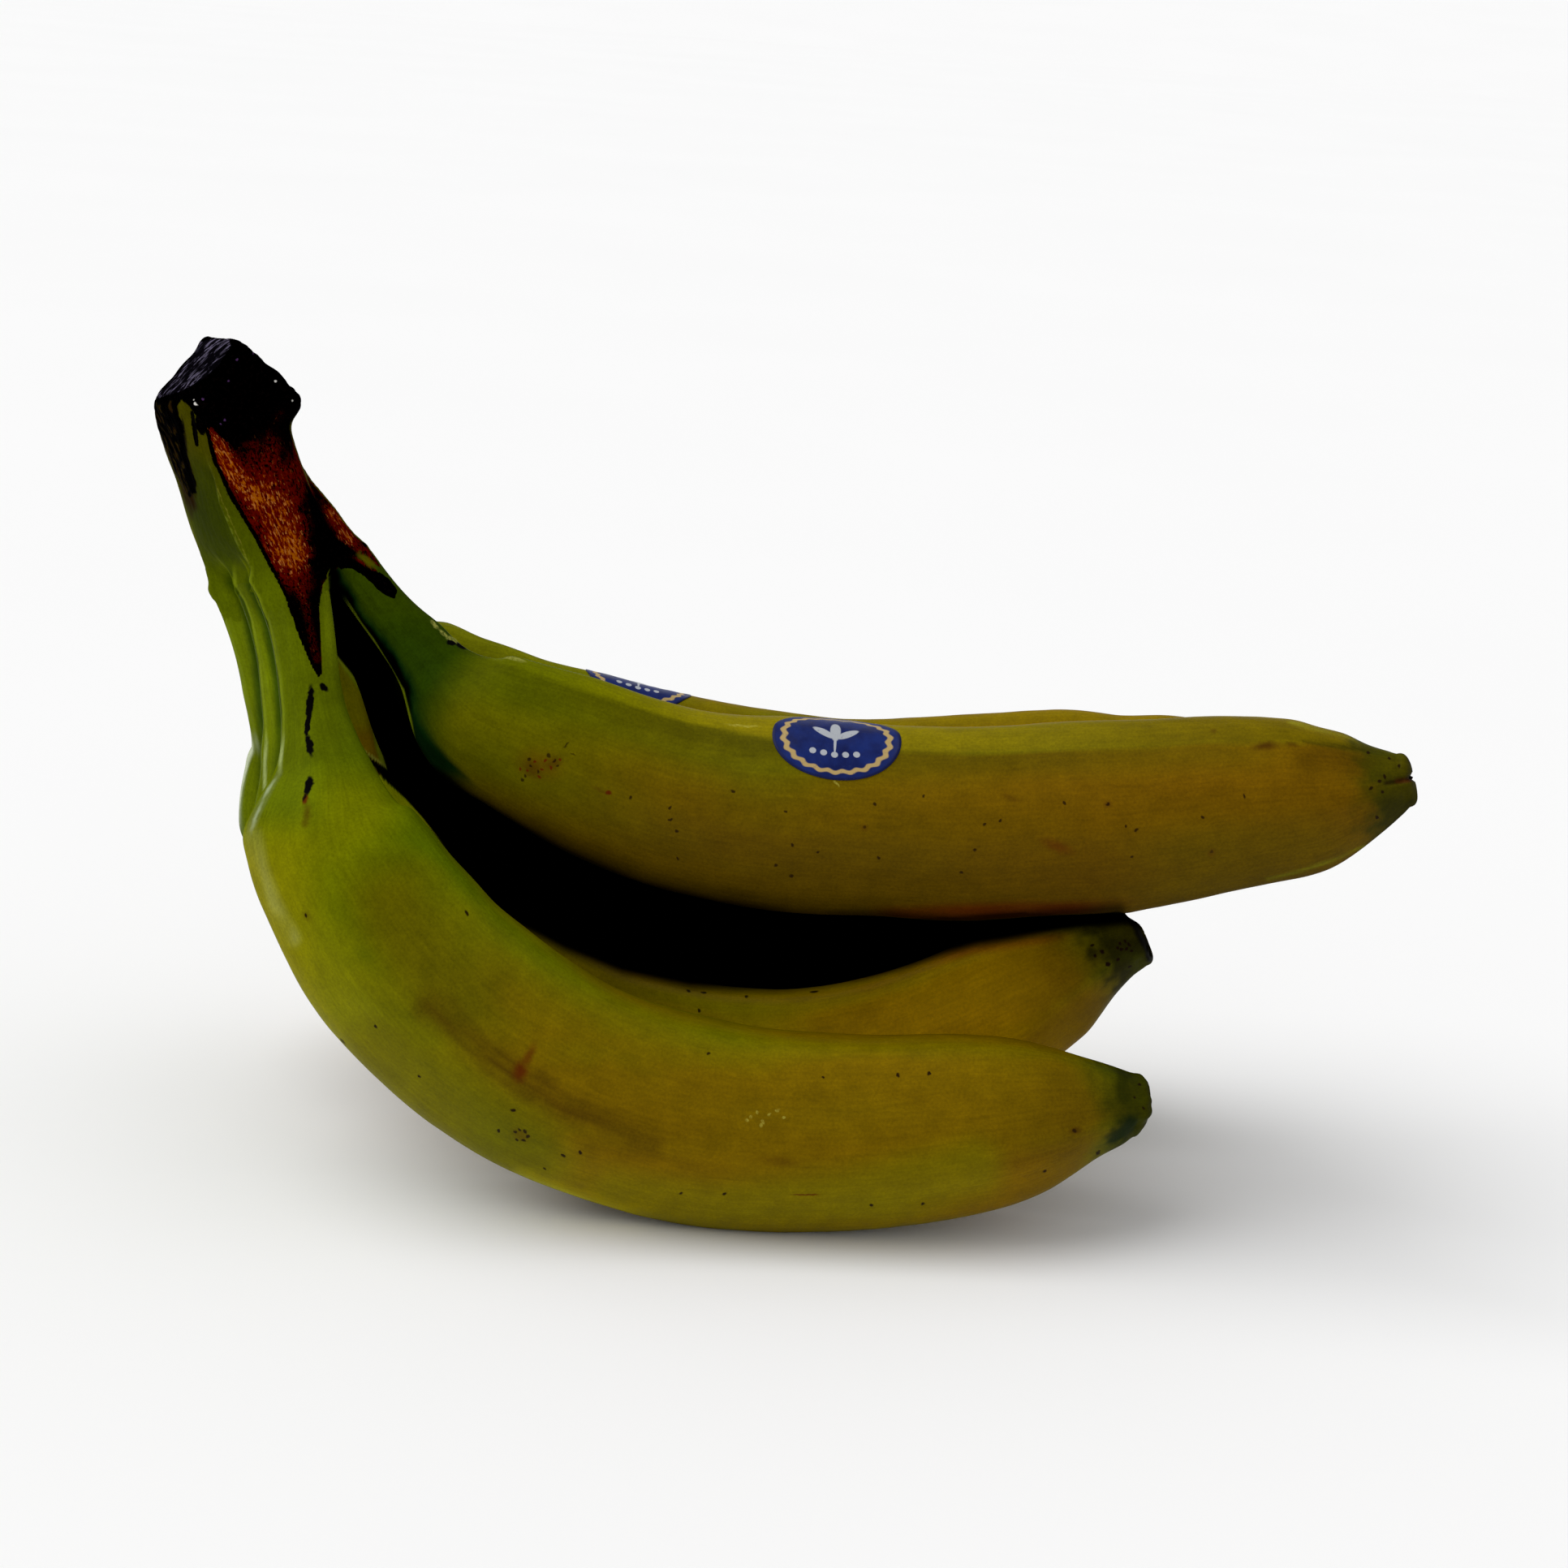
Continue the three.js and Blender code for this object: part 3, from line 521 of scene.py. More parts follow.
def low_mesh(m, sr=6, sc=6):
    """Every sixth ring and column of a fruit's grid, for the occlusion rays."""
    rows = m["rows"]
    ri = np.unique(np.concatenate([np.arange(0, rows, sr), [rows - 1]]))
    ci = np.arange(0, AROUND, sc)
    G = m["V"][:rows * AROUND].reshape(rows, AROUND, 3)
    N = m["N"][:rows * AROUND].reshape(rows, AROUND, 3)
    m["ri"], m["ci"] = ri, ci
    m["lowV"] = G[np.ix_(ri, ci)].reshape(-1, 3)
    m["lowN"] = N[np.ix_(ri, ci)].reshape(-1, 3)
    m["lowQ"] = grid_faces(len(ri), len(ci))


def spread_ao(m):
    """The coarse occlusion carried to every point of the fruit's grid."""
    ri, ci, rows = m["ri"], m["ci"], m["rows"]
    A = m["lowAO"].reshape(len(ri), len(ci))
    K = np.array([0.25, 0.5, 0.25])
    A = sum(w * np.roll(A, k - 1, 1) for k, w in enumerate(K))
    A2 = A.copy()
    A2[1:-1] = 0.25 * A[:-2] + 0.5 * A[1:-1] + 0.25 * A[2:]
    A = A2
    col = np.arange(AROUND) / (ci[1] - ci[0])
    c0 = np.floor(col).astype(int)
    t = col - c0
    t = t * t * (3 - 2 * t)
    B = A[:, c0 % len(ci)] * (1 - t) + A[:, (c0 + 1) % len(ci)] * t
    row = np.arange(rows)
    out = np.stack([np.interp(row, ri, B[:, c]) for c in range(AROUND)], 1)
    return np.concatenate([out.ravel(), [out[0].mean(), out[-1].mean()]])


# ---- the crown as a distance field --------------------------------------------
E3 = np.cross(E1, E2)


def smin(a, b, k):
    h = np.clip(0.5 + 0.5 * (b - a) / k, 0, 1)
    return b * (1 - h) + a * h - k * h * (1 - h)


def smax(a, b, k):
    return -smin(-a, -b, k)


def pad_table():
    rows = natural(PAD_ROWS)(np.linspace(0, 1, 300))
    w = rows[:, :3] @ E3
    o = np.argsort(w)
    return w[o], rows[o]


PAD_W, PAD_T = pad_table()


def pad_field(P, power=3.2):
    w = P @ E3
    row = np.stack([np.interp(w, PAD_W, PAD_T[:, k]) for k in range(5)], -1)
    d = P - row[:, :3]
    x, y = d @ E1, d @ E2
    a, b = row[:, 3], row[:, 4]
    rho = np.hypot(x, y) + 1e-6
    k = (np.abs(x / a) ** power + np.abs(y / b) ** power) ** (1 / power) + 1e-6
    side = rho * (1 - 1 / k)
    side = np.maximum(side, -np.minimum(a, b))
    return np.maximum(side, PAD_W[0] - w)


def root_lines(fruits):
    top = np.array(PAD_ROWS[4][:3], float)
    out = []
    for m in fruits:
        fr = m["fr"]
        s = np.arange(-20, 9.01, 0.7)
        C0, r0, q0, T0, B0, N0 = fr.frame(np.array([0.0]))
        C, r, q, T, B, N = fr.frame(fr.f_of(np.maximum(s, 0)))
        t = np.clip(-s / 20, 0, 1)[:, None]
        up = C0 + T0 * s[:, None]
        C = np.where(s[:, None] < 0, up * (1 - 0.9 * t ** 2) + top * 0.9 * t ** 2, C)
        r = np.where(s < 0, r0 * (1.04 - 0.3 * t[:, 0]), r)
        lift = 0.16 - 0.8 * smooth(s, 2.0, 9.0)
        out.append(dict(fr=fr, s=s, C=C, r=r + lift, q=q, T=T, B=B, N=N))
    return out


def root_field(P, R):
    C = R["C"]
    best = np.full(len(P), 1e9)
    idx = np.zeros(len(P), int)
    for i in range(len(C)):
        d = np.sum((P - C[i]) ** 2, 1)
        w = d < best
        best[w] = d[w]
        idx[w] = i
    rel = P - C[idx]
    xt = np.sum(rel * R["T"][idx], 1)
    xb = np.sum(rel * R["B"][idx], 1)
    xn = np.sum(rel * R["N"][idx], 1)
    q = R["q"][idx]
    th = np.arctan2(xn, xb / q)
    sb, sn = R["fr"].unit(th)
    # the section's reach at this polar angle
    slope = np.gradient(R["r"], R["s"])[idx]
    r = R["r"][idx] + slope * np.clip(-xt, -0.5, 0.5) * 0
    polar = np.hypot(sb, sn)
    a2 = np.arctan2(sn, sb)
    # one correction step, since the table is by parameter and not by angle
    sb, sn = R["fr"].unit(th + (th - a2))
    polar = np.hypot(sb, sn)
    lim = polar * np.hypot(q * r * np.cos(th), r * np.sin(th))
    d = np.hypot(xb, xn) - lim
    end = np.maximum(np.where(idx == 0, np.abs(xt), 0), np.where(idx == len(C) - 1, np.abs(xt), 0))
    return np.maximum(d, end - 0.35)


def crown_field(P, roots):
    d = pad_field(P)
    group = None
    for R in roots:
        f = root_field(P, R)
        group = f if group is None else smin(group, f, 1.1)
    d = smin(d, group, 3.2)
    for x, y, z, o in CUTS:
        d = smax(d, P @ np.array([x, y, z]) - o, 1.3)
    return d


def surface_nets(F, origin, h):
    nx, ny, nz = F.shape
    neg = F < 0
    c = np.zeros((nx - 1, ny - 1, nz - 1), np.int8)
    for dx in (0, 1):
        for dy in (0, 1):
            for dz in (0, 1):
                c += neg[dx:nx - 1 + dx, dy:ny - 1 + dy, dz:nz - 1 + dz]
    cell = np.argwhere((c > 0) & (c < 8))
    idx = np.full((nx - 1, ny - 1, nz - 1), -1, np.int64)
    idx[cell[:, 0], cell[:, 1], cell[:, 2]] = np.arange(len(cell))
    corners = [(x, y, z) for x in (0, 1) for y in (0, 1) for z in (0, 1)]
    val = {k: F[cell[:, 0] + k[0], cell[:, 1] + k[1], cell[:, 2] + k[2]] for k in corners}
    acc = np.zeros((len(cell), 3))
    cnt = np.zeros(len(cell))
    for a in corners:
        for ax in range(3):
            if a[ax] == 1:
                continue
            b = tuple(1 if k == ax else a[k] for k in range(3))
            fa, fb = val[a], val[b]
            w = (fa < 0) != (fb < 0)
            t = np.where(w, fa / np.where(w, fa - fb, 1), 0)
            p = np.array(a, float) + t[:, None] * (np.array(b, float) - np.array(a, float))
            acc += np.where(w[:, None], p, 0)
            cnt += w
    V = (cell + acc / cnt[:, None]) * h + origin
    quads = []
    for ax in range(3):
        u, v = (ax + 1) % 3, (ax + 2) % 3
        sl0 = [slice(None)] * 3
        sl1 = [slice(None)] * 3
        sl0[ax] = slice(0, -1)
        sl1[ax] = slice(1, None)
        a, b = neg[tuple(sl0)], neg[tuple(sl1)]
        e = np.argwhere(a != b)
        ok = (e[:, u] > 0) & (e[:, v] > 0) & (e[:, u] < F.shape[u] - 1) & (e[:, v] < F.shape[v] - 1)
        e = e[ok]
        flip = a[e[:, 0], e[:, 1], e[:, 2]]
        du = np.eye(3, dtype=int)[u]
        dv = np.eye(3, dtype=int)[v]
        q = np.stack([idx[tuple((e - du - dv).T)], idx[tuple((e - dv).T)], idx[tuple(e.T)], idx[tuple((e - du).T)]], 1)
        q = np.where(flip[:, None], q, q[:, ::-1])
        quads.append(q)
    return V, np.vstack(quads)


def relax(V, quads, steps, amount=0.5):
    n = len(V)
    e = np.vstack([quads[:, [0, 1]], quads[:, [1, 2]], quads[:, [2, 3]], quads[:, [3, 0]]])
    deg = np.bincount(e.ravel(), minlength=n)[:, None]
    for _ in range(steps):
        acc = np.zeros_like(V)
        np.add.at(acc, e[:, 0], V[e[:, 1]])
        np.add.at(acc, e[:, 1], V[e[:, 0]])
        V = V + amount * (acc / deg - V)
    return V


def build_crown(fruits, h=0.42):
    roots = root_lines(fruits)
    pts = np.vstack([R["C"] for R in roots] + [PAD_T[:, :3]])
    lo = np.array([min(pts[:, 0].min(), -127) - 9, -33, 98])
    hi = np.array([-68, 30, 170.0])
    big = 2.1
    n = np.ceil((hi - lo) / big).astype(int)
    ax = [lo[k] + (np.arange(n[k]) + 0.5) * big for k in range(3)]
    G = np.stack(np.meshgrid(*ax, indexing="ij"), -1).reshape(-1, 3)
    near = (np.abs(crown_field(G, roots)) < 3.6).reshape(n)
    k = int(round(big / h))
    h = big / k
    m = np.repeat(np.repeat(np.repeat(near, k, 0), k, 1), k, 2)
    ii = np.argwhere(m)
    P = lo + (ii + 0.5) * h
    F = np.full(m.shape, 5.0, np.float32)
    coarse = (crown_field(G, roots) < 0).reshape(n)
    F[np.repeat(np.repeat(np.repeat(coarse, k, 0), k, 1), k, 2)] = -5
    out = np.empty(len(P))
    for a in range(0, len(P), 400000):
        out[a:a + 400000] = crown_field(P[a:a + 400000], roots)
    F[ii[:, 0], ii[:, 1], ii[:, 2]] = out
    V, quads = surface_nets(F, lo + 0.5 * h, h)
    # relax the points a little
    V = relax(V, quads, 3, 0.4)
    n0 = vertex_normals(V, quads)
    mid = V.mean(0)
    return V, quads, roots


# ---- colours (linear) ---------------------------------------------------------
def srgb(r, g, b):
    c = np.array([r, g, b], float) / 255
    return np.where(c <= 0.04045, c / 12.92, ((c + 0.055) / 1.055) ** 2.4)


YELLOW = srgb(124, 98, 0)
WARM = srgb(120, 86, 0)
GREENISH = srgb(108, 106, 0)
GREEN = srgb(84, 99, 0)
STALK = srgb(96, 110, 4)
DEEP = srgb(20, 40, 4)
BROWN = srgb(50, 34, 4)
BLACK = srgb(9, 7, 5)
PALE = srgb(176, 182, 120)
OLIVE = srgb(88, 78, 4)

# lines that follow the fruits' outlines and ridges, in the camera's picture
C_UNDER = [(407, 706), (414, 712), (426, 740), (443, 767), (460, 790), (482, 826), (496, 851), (504, 883), (510, 913),
           (523, 938), (548, 956), (580, 983), (628, 1011), (691, 1046), (787, 1088), (883, 1111), (978, 1126),
           (1091, 1129), (1171, 1137), (1283, 1129), (1378, 1122)]
A_LEFT = [(309, 711), (322, 736), (333, 781), (342, 831), (347, 899), (344, 933), (330, 966), (311, 1003)]
B_LEFT = [(287, 719), (301, 742), (311, 787), (319, 837), (325, 890), (326, 941), (316, 977), (308, 1008)]
B_LIT = [(600, 1100), (642, 1140), (698, 1169), (767, 1196), (849, 1213), (904, 1216), (956, 1216), (1008, 1211),
         (1042, 1205), (1080, 1198), (1120, 1187), (1160, 1173), (1200, 1162), (1240, 1156), (1280, 1149), (1320, 1144),
         (1360, 1139), (1384, 1137)]
SLIVER = [(409, 796), (414, 806), (432, 828), (440, 838), (448, 850), (455, 866), (461, 885), (465, 900), (469, 922),
          (477, 948)]
C_RIDGE = [(560, 803), (600, 812), (660, 832), (740, 858), (850, 892), (960, 912), (1110, 925), (1200, 928), (1300, 926),
           (1350, 924), (1420, 922), (1490, 916), (1615, 917), (1735, 937)]


def across(uv, line):
    """Pixels below a line that runs from left to right."""
    line = np.asarray(line, float)
    return uv[:, 1] - np.interp(uv[:, 0], line[:, 0], line[:, 1])


def fruit_colour(m):
    """Skin colour with painted light and shade laid into it, before spots and marks; how deep in painted shade each
    place lies; and its gloss.
    """
    V, s, th, L, key, fr = m["V"], m["s"], m["th"], m["L"], m["key"], m["fr"]
    uv, face, N, S = m["uv"], m["face"], m["N"], m["seen"]
    F = smooth(face, 0.0, 0.15) * S
    G = smooth(face, -0.15, -0.02) * S
    u, v = uv[:, 0], uv[:, 1]
    e = L - s
    slow = fbm(V, (46, 30, 30), 51, 2)
    fine = fbm(V, (26, 7, 7), 53, 3)
    g = 0.24 + 0.15 * slow + 0.10 * fine
    g = g + 1.10 * smooth(s, 96, 36)
    g = g + 0.45 * smooth(s, L - 17, L - 5)
    g = g + 0.16 * np.exp(-(ridge_gap(fr, th) / 8.0) ** 2) * smooth(s, 30, 60)
    if key == "A":
        # greener along the back of the bend, under it and along the upper edge
        band = smooth(N[:, 2], -0.60, -0.25) * smooth(u, 620, 780) * F
        g = g + 0.42 * smooth(N[:, 0], -0.35, -0.95) + 0.16 * smooth(N[:, 2], -0.35, -0.8) * smooth(u, 1250, 1100)
        g = g + 0.30 * smooth(N[:, 2], 0.35, 0.85) * smooth(u, 1060, 860) + 0.25 * smooth(u, 780, 560) * smooth(N[:, 2], 0.05, -0.4)
        g = g + 0.10 - 0.20 * smooth(u, 520, 640) * smooth(N[:, 2], 0.7, 0.4) - 0.20 * band
    if key == "B":
        g = g - 0.22 * smooth(u, 900, 1100)
    g = np.clip(g, -0.4, 2)
    col = mixc(WARM, YELLOW, np.clip(0.5 + g / 0.7, 0, 1))
    col = mixc(col, GREENISH, np.clip((g - 0.15) / 0.5, 0, 1))
    col = mixc(col, GREEN, np.clip((g - 0.70) / 0.5, 0, 1))
    col = mixc(col, STALK, smooth(s, 48, 26))
    if key in "ABE":
        col = mixc(col, root_green(V, uv), smooth(s, 64, 40) * F * smooth(u, 440, 404))
    shade = np.ones(len(V))
    gloss = 0.022 - 0.016 * smooth(s, 90, 55) * F
    dark = smooth(m["ao"], 0.34, 0.78)
    if key in "CD":
        # painted shade: the inner row turns its flat cheek away from the light, and its stalk gets more painted shade
        # and a greener colour
        shade = shade * (1.10 - 0.36 * smooth(N[:, 2], 0.9, 0.25) - 0.30 * smooth(N[:, 2], 0.05, -0.8))
        stalk = smooth(s, 66, 34) * (1 - F * (smooth(u, 500, 535) if key == "D" else 1))
        shade = shade * (1 - 0.50 * stalk)
        col = mixc(col, srgb(70, 96, 2), 0.7 * stalk)
    if key == "C":
        r = across(uv, C_RIDGE)
        end = right_of(uv, NECK_END)
        # olive just under the upper ridge and towards the neck, warmer below and towards the tip
        gw = 0.95 * smooth(r, np.interp(u, [950, 1250], [105, 60]), np.interp(u, [950, 1250], [25, 10])) * smooth(u, 1420, 950) + 0.75 * smooth(r, 52, 8) * smooth(u, 1640, 1480)
        gw = np.maximum(gw, smooth(end, 130, 20) * smooth(r, 190, 60)) + 0.16 * fine + 0.16 * slow
        warm = mixc(srgb(110, 84, 0), srgb(112, 80, 0), smooth(u, 1000, 1500))
        warm = mixc(warm, srgb(113, 88, 0), smooth(u, 1330, 1480) * smooth(r, 70, 130))
        gw = gw * (1 - 0.6 * smooth(r, -2, 3) * smooth(u, 900, 1100))
        face_col = mixc(warm, srgb(98, 92, 0), np.clip(gw, 0, 1))
        # greener towards the neck, with painted shade high up near it
        close = smooth(end, 360, 60) * smooth(r, 200, 120)
        face_col = mixc(face_col, mixc(srgb(85, 91, 0), srgb(101, 99, 0), smooth(r, 25, 85)), 0.95 * close)
        shade = shade * (1 - 0.13 * close * smooth(r, 75, 25))
        # a patch of painted shade on the face before the tip
        shade = shade * (1 - 0.30 * smooth(u, 1570, 1620) * smooth(u, 1710, 1670) * smooth(v, 912, 925) * smooth(v, 975, 938) * F)
        # painted shade just under the upper ridge, painted light just above it
        step = np.interp(u, [600, 660, 740, 850, 1000, 1350, 1500, 1600], [0, 0.07, 0.25, 0.36, 0.27, 0.26, 0.12, 0])
        shade = shade * (1 - step * smooth(r, -2, 3) * smooth(r, 36, 8) * F)
        lift = np.interp(u, [560, 600, 740, 850, 960], [0.05, 0.25, 0.40, 0.16, 0.0])
        shade = shade * (1 + lift * smooth(r, 1, -3) * smooth(end, 10, 40) * F)
        d = right_of(uv, NECK_LIT) + 4.0 * fine
        face_col = mixc(face_col, srgb(60, 72, 0), 0.7 * smooth(end, 46, 4))
        # a dark green band of painted shade along the neck's lit line
        face_col = mixc(face_col, srgb(10, 38, 6), smooth(d, np.interp(v, [890, 930, 965], [19, 14, 7]), 1) * smooth(v, 985, 945) * smooth(v, 850, 890))
        col = mixc(col, face_col, F)
        # a little more painted light towards the tip
        shade = np.where(F > 0, shade * (1 + 0.07 * smooth(u, 700, 1500) * F), shade)
        neck, ndark = neck_look(V, uv)
        col = mixc(col, neck, smooth(end + 5 * slow, 24, -26) * F)
        shade = shade + (1.0 - shade) * smooth(end, 24, -26) * F
        # painted shade fading to black along the lower edge, a little painted light close to the edge, and a dark red
        # band along the edge of the black over the middle stretch; cut is where the black begins
        rim, along = seg_dist(uv, C_UNDER)
        wide = np.interp(u, [545, 600, 680], [8, 22, 34])
        fade = 0.90 * np.clip(1.0 - (rim - 1) / wide, 0, 1) ** 1.6 * smooth(v, 925, 960) * smooth(u, 1230, 900)
        shade = shade * (1 + 0.10 * smooth(rim, 14, 6) * F)
        fade = np.maximum(fade, 0.75 * smooth(rim, 17, 2) * smooth(u, 900, 1050) * smooth(u, 1430, 1385))
        cut = smooth(v - np.interp(u, [1060, 1120, 1190, 1260, 1330, 1378], [1129, 1130, 1127, 1122, 1126, 1121]), -1.5, 3)
        red_shade_edge = smooth(u, 1060, 1110) * smooth(u, 1372, 1320)
        col = mixc(col, srgb(104, 44, 0), 0.75 * smooth(v - np.interp(u, [1060, 1120, 1190, 1260, 1330], [1119, 1120, 1117, 1113, 1116]), -8, 4) * red_shade_edge * F)
        low = smooth(v - np.interp(u, [1060, 1120, 1190, 1260, 1330, 1378], [1134, 1137, 1141, 1137, 1135, 1127]), -9, 1)
        cut = cut * (1 - red_shade_edge) + np.maximum(0.86 * cut, low) * red_shade_edge
        fade = np.maximum(fade, cut * smooth(u, 1060, 1100) * smooth(u, 1400, 1375))
        dark = dark * (1 - G) + G * np.maximum(ndark * smooth(v, 965, 930), fade)
        # a painted highlight along the rim of the neck, with no painted shade there
        pale = smooth(rim, 3.2, 1.5) * smooth(v, 935, 890) * smooth(v, 730, 750) * F
        col = mixc(col, srgb(104, 116, 10), 0.9 * pale)
        dark = dark * (1 - pale)
        # painted light and shade on the strip above the ridge, brighter near the neck and darker towards the tip, with
        # a paler colour in the middle and a warmer one towards the tip
        top = smooth(r, 3, -5) * F * smooth(u, 600, 660)
        shade = shade * (1 + top * np.interp(u, [700, 860, 1050, 1200, 1350, 1600], [0, 0.10, 0.06, -0.12, -0.24, -0.16]))
        col = mixc(col, srgb(126, 112, 4), 0.8 * top * smooth(u, 760, 1000))
        col = mixc(col, srgb(106, 89, 0), 0.8 * top * smooth(u, 1300, 1500))
        # painted highlights along the lit rims towards the tip, and a darker line under the upper one
        wob = 1 + 0.8 * noise(V, (5, 1.2, 1.2), 65)
        d4, _ = seg_dist(uv, [(1560, 1084), (1600, 1074), (1640, 1061), (1684, 1042)])
        col = mixc(col, srgb(140, 136, 14), np.clip(0.50 * smooth(d4, 3.4, 0.6) * F * wob, 0, 1))
        d4, _ = seg_dist(uv, [(1590, 890), (1640, 903), (1690, 919), (1728, 932)])
        col = mixc(col, srgb(140, 134, 30), np.clip(0.42 * smooth(d4, 4.5, 0.8) * F * wob, 0, 1))
        d4, _ = seg_dist(uv, [(1607, 914), (1645, 919), (1677, 924), (1727, 935)])
        col = mixc(col, srgb(52, 44, 0), 0.55 * smooth(d4, 3.5, 0.8) * F)
    if key == "B":
        # the lit stretch of the top under the inner row: painted light, painted black shade above it, and painted shade
        # before the tip
        lit = smooth(across(uv, B_LIT), -4, 13) * smooth(face, -0.1, 0.1) * S * smooth(u, 628, 662)
        dark = np.where(u > 520, np.maximum(dark, smooth(u, 520, 570) * smooth(s, 40, 60)) * (1 - lit), dark)
        boost = np.interp(u, [760, 900, 1050, 1150, 1250, 1330, 1400], [0, 0.8, 1.4, 1.8, 1.4, 0.55, 0.3])
        shade = shade * (1 + boost * lit) * (1 - 0.20 * smooth(u, 1230, 1290) * smooth(v, 1210, 1250) * lit)
        shade = shade * (1 - (0.25 + 0.20 * smooth(e, 22, 11)) * smooth(e, 34, 16) * lit)
        # a dark red band just inside the lit stretch, along the edge of the painted shade
        red_shade_edge = smooth(across(uv, B_LIT), 20, 3) * smooth(u, 1130, 1190) * smooth(u, 1335, 1290) * lit
        col = mixc(col, srgb(122, 50, 0), 0.75 * red_shade_edge)
        gloss = gloss * (1 - smooth(u, 480, 560) * (1 - lit))
    if key in "BE":
        line = ROOT_EDGE if key == "B" else ROOT_EDGE2
        d = right_of(uv, line)
        left = smooth(u, 380, 350)
        # painted shade in the groove left of the root's lit edge
        groove_shade = smooth(d, -14, -2) * smooth(v, 712, 730) * left
        col = mixc(col, srgb(40, 62, 4), 0.6 * groove_shade)
        # no painted crease shade on the far left, and painted light on the left stalks
        dark = dark * (1 - smooth(u, 350, 330) * G)
        shade = shade * (1 + 0.26 * smooth(u, 352, 340) * smooth(v, 735, 780) * smooth(v, 950, 900) * F)
        # the sliver seen between the front fruit's stalk and the shade behind it, with painted light on it, painted
        # highlights on its rim and lower end, and painted black shade beside it
        sl = right_of(uv, SLIVER)
        low = v - np.interp(u, [445, 478], [925, 948])
        near = G * smooth(u, 396, 402) * smooth(u, 640, 600) * smooth(v, 1100, 1080)
        body = near * smooth(sl, -3, -8)
        inn = mixc(srgb(84, 80, 0), srgb(94, 88, 0), smooth(v, 838, 868))
        inn = mixc(inn, srgb(94, 74, 0), smooth(v, 885, 912)) * (1 - 0.30 * smooth(sl, -14, -7) * smooth(v, 850, 870))[:, None]
        col = mixc(col, inn, body)
        shade = shade * (1 + 1.0 * body)
        rimw = smooth(np.abs(sl + 2.2), 3.4, 1.2) * smooth(low, 2, -1)
        col = mixc(col, srgb(120, 130, 14), near * rimw)
        pale = smooth(np.abs(low + 1.5), 2.6, 0.8) * smooth(sl, 2, -2) * smooth(u, 440, 446)
        col = mixc(col, srgb(120, 122, 40), near * pale)
        black = np.maximum(smooth(sl, -1.2, 0.8), smooth(low, -0.8, 1.2))
        dark = dark * (1 - near) + near * black
        # the skin just past the front fruit's shoulder gets that shoulder's colour and painted light, and no painted
        # shade
        over = v - np.interp(u, [440, 450, 470, 480, 500, 520, 540, 560], [922, 934, 957, 966, 984, 1006, 1031, 1056])
        fill = G * smooth(u, 436, 446) * smooth(u, 552, 520) * smooth(over, -0.6, 1.4) * smooth(over, 60, 40)
        col = mixc(col, srgb(96, 100, 0), fill)
        shade = shade * (1 + 1.9 * fill)
        dark = dark * (1 - fill)
        if key == "B":
            # a painted highlight along this root's lit edge, whiter lower down
            d = right_of(uv, ROOT_EDGE2)
            pale = smooth(np.abs(d - 1.2), np.interp(v, [890, 935], [2.1, 3.0]), 0.7) * left * smooth(v, 716, 730)
            white = smooth(v, 895, 935)
            col = mixc(col, mixc(srgb(106, 118, 16), srgb(150, 162, 96), white), (0.75 + 0.1 * white) * pale * S)
    if key == "E":
        # a whitish painted highlight down the left edge, and painted black shade where the skin shows in the gap
        edge = smooth(face, 0.62, 0.20) * G * smooth(v, 895, 930) * smooth(v, 1030, 1005) * smooth(u, 326, 314)
        col = mixc(col, srgb(184, 192, 164), 0.80 * edge)
        gap = smooth(u, 430, 480) * smooth(face, -0.35, -0.05) * smooth(s, L + 4, L - 4)
        dark = np.maximum(dark, np.where(u < 640, gap * (1 - F) + F * np.maximum(dark, gap * smooth(v, 948, 952)), gap))
    if key == "D":
        # painted black shade on the underside and beside the neck, none where it faces up; a paler strip near the neck,
        # painted shade on the top, and a warmer colour further on
        under = smooth(v - np.interp(u, [440, 560, 700, 1000, 1600], [840, 880, 930, 960, 960]), 0, 40) * smooth(face, -0.3, 0.0)
        dark = np.maximum(dark, under)
        dark = dark * (1 - smooth(N[:, 2], 0.2, 0.6))
        dark = np.maximum(dark, smooth(u, 512, 484) * smooth(v, 700, 712) * G)
        col = mixc(col, srgb(116, 116, 6), 0.85 * G * smooth(u, 492, 560) * smooth(u, 820, 650))
        shade = shade * (1 - 0.10 * smooth(N[:, 2], 0.5, 0.9))
        col = mixc(col, srgb(132, 106, 0), 0.5 * F * smooth(u, 950, 1150))
    if key == "A":
        # a painted highlight along the root's lit edge, whiter lower down, and painted shade right of it
        d = right_of(uv, ROOT_EDGE)
        pale = smooth(np.abs(d - 1.2), np.interp(v, [890, 940], [2.2, 3.4]), 0.7) * smooth(v, 700, 716) * smooth(v, 960, 930) * F
        white = smooth(v, 895, 935)
        shade = shade * (1 - 0.17 * smooth(d, 2, 9) * smooth(v, 760, 830) * smooth(v, 965, 925) * F)
        col = mixc(col, mixc(srgb(106, 118, 16), srgb(156, 168, 104), white), (0.75 + 0.1 * white) * pale)
        dark = dark * (1 - G)
        # a painted rim highlight along the lower outline, and painted light just inside it
        edge = smooth(face, 0.40, 0.05) * F * smooth(v, 1010, 1060) * smooth(u, 1000, 500) * smooth(N[:, 2], 0.3, -0.1)
        col = mixc(col, srgb(152, 152, 40), 0.70 * edge)
        inner = smooth(face, 0.85, 0.40) * F * smooth(v, 1010, 1080) * smooth(u, 800, 560) * smooth(N[:, 2], 0.35, -0.05)
        col = mixc(col, srgb(122, 116, 4), 0.75 * inner)
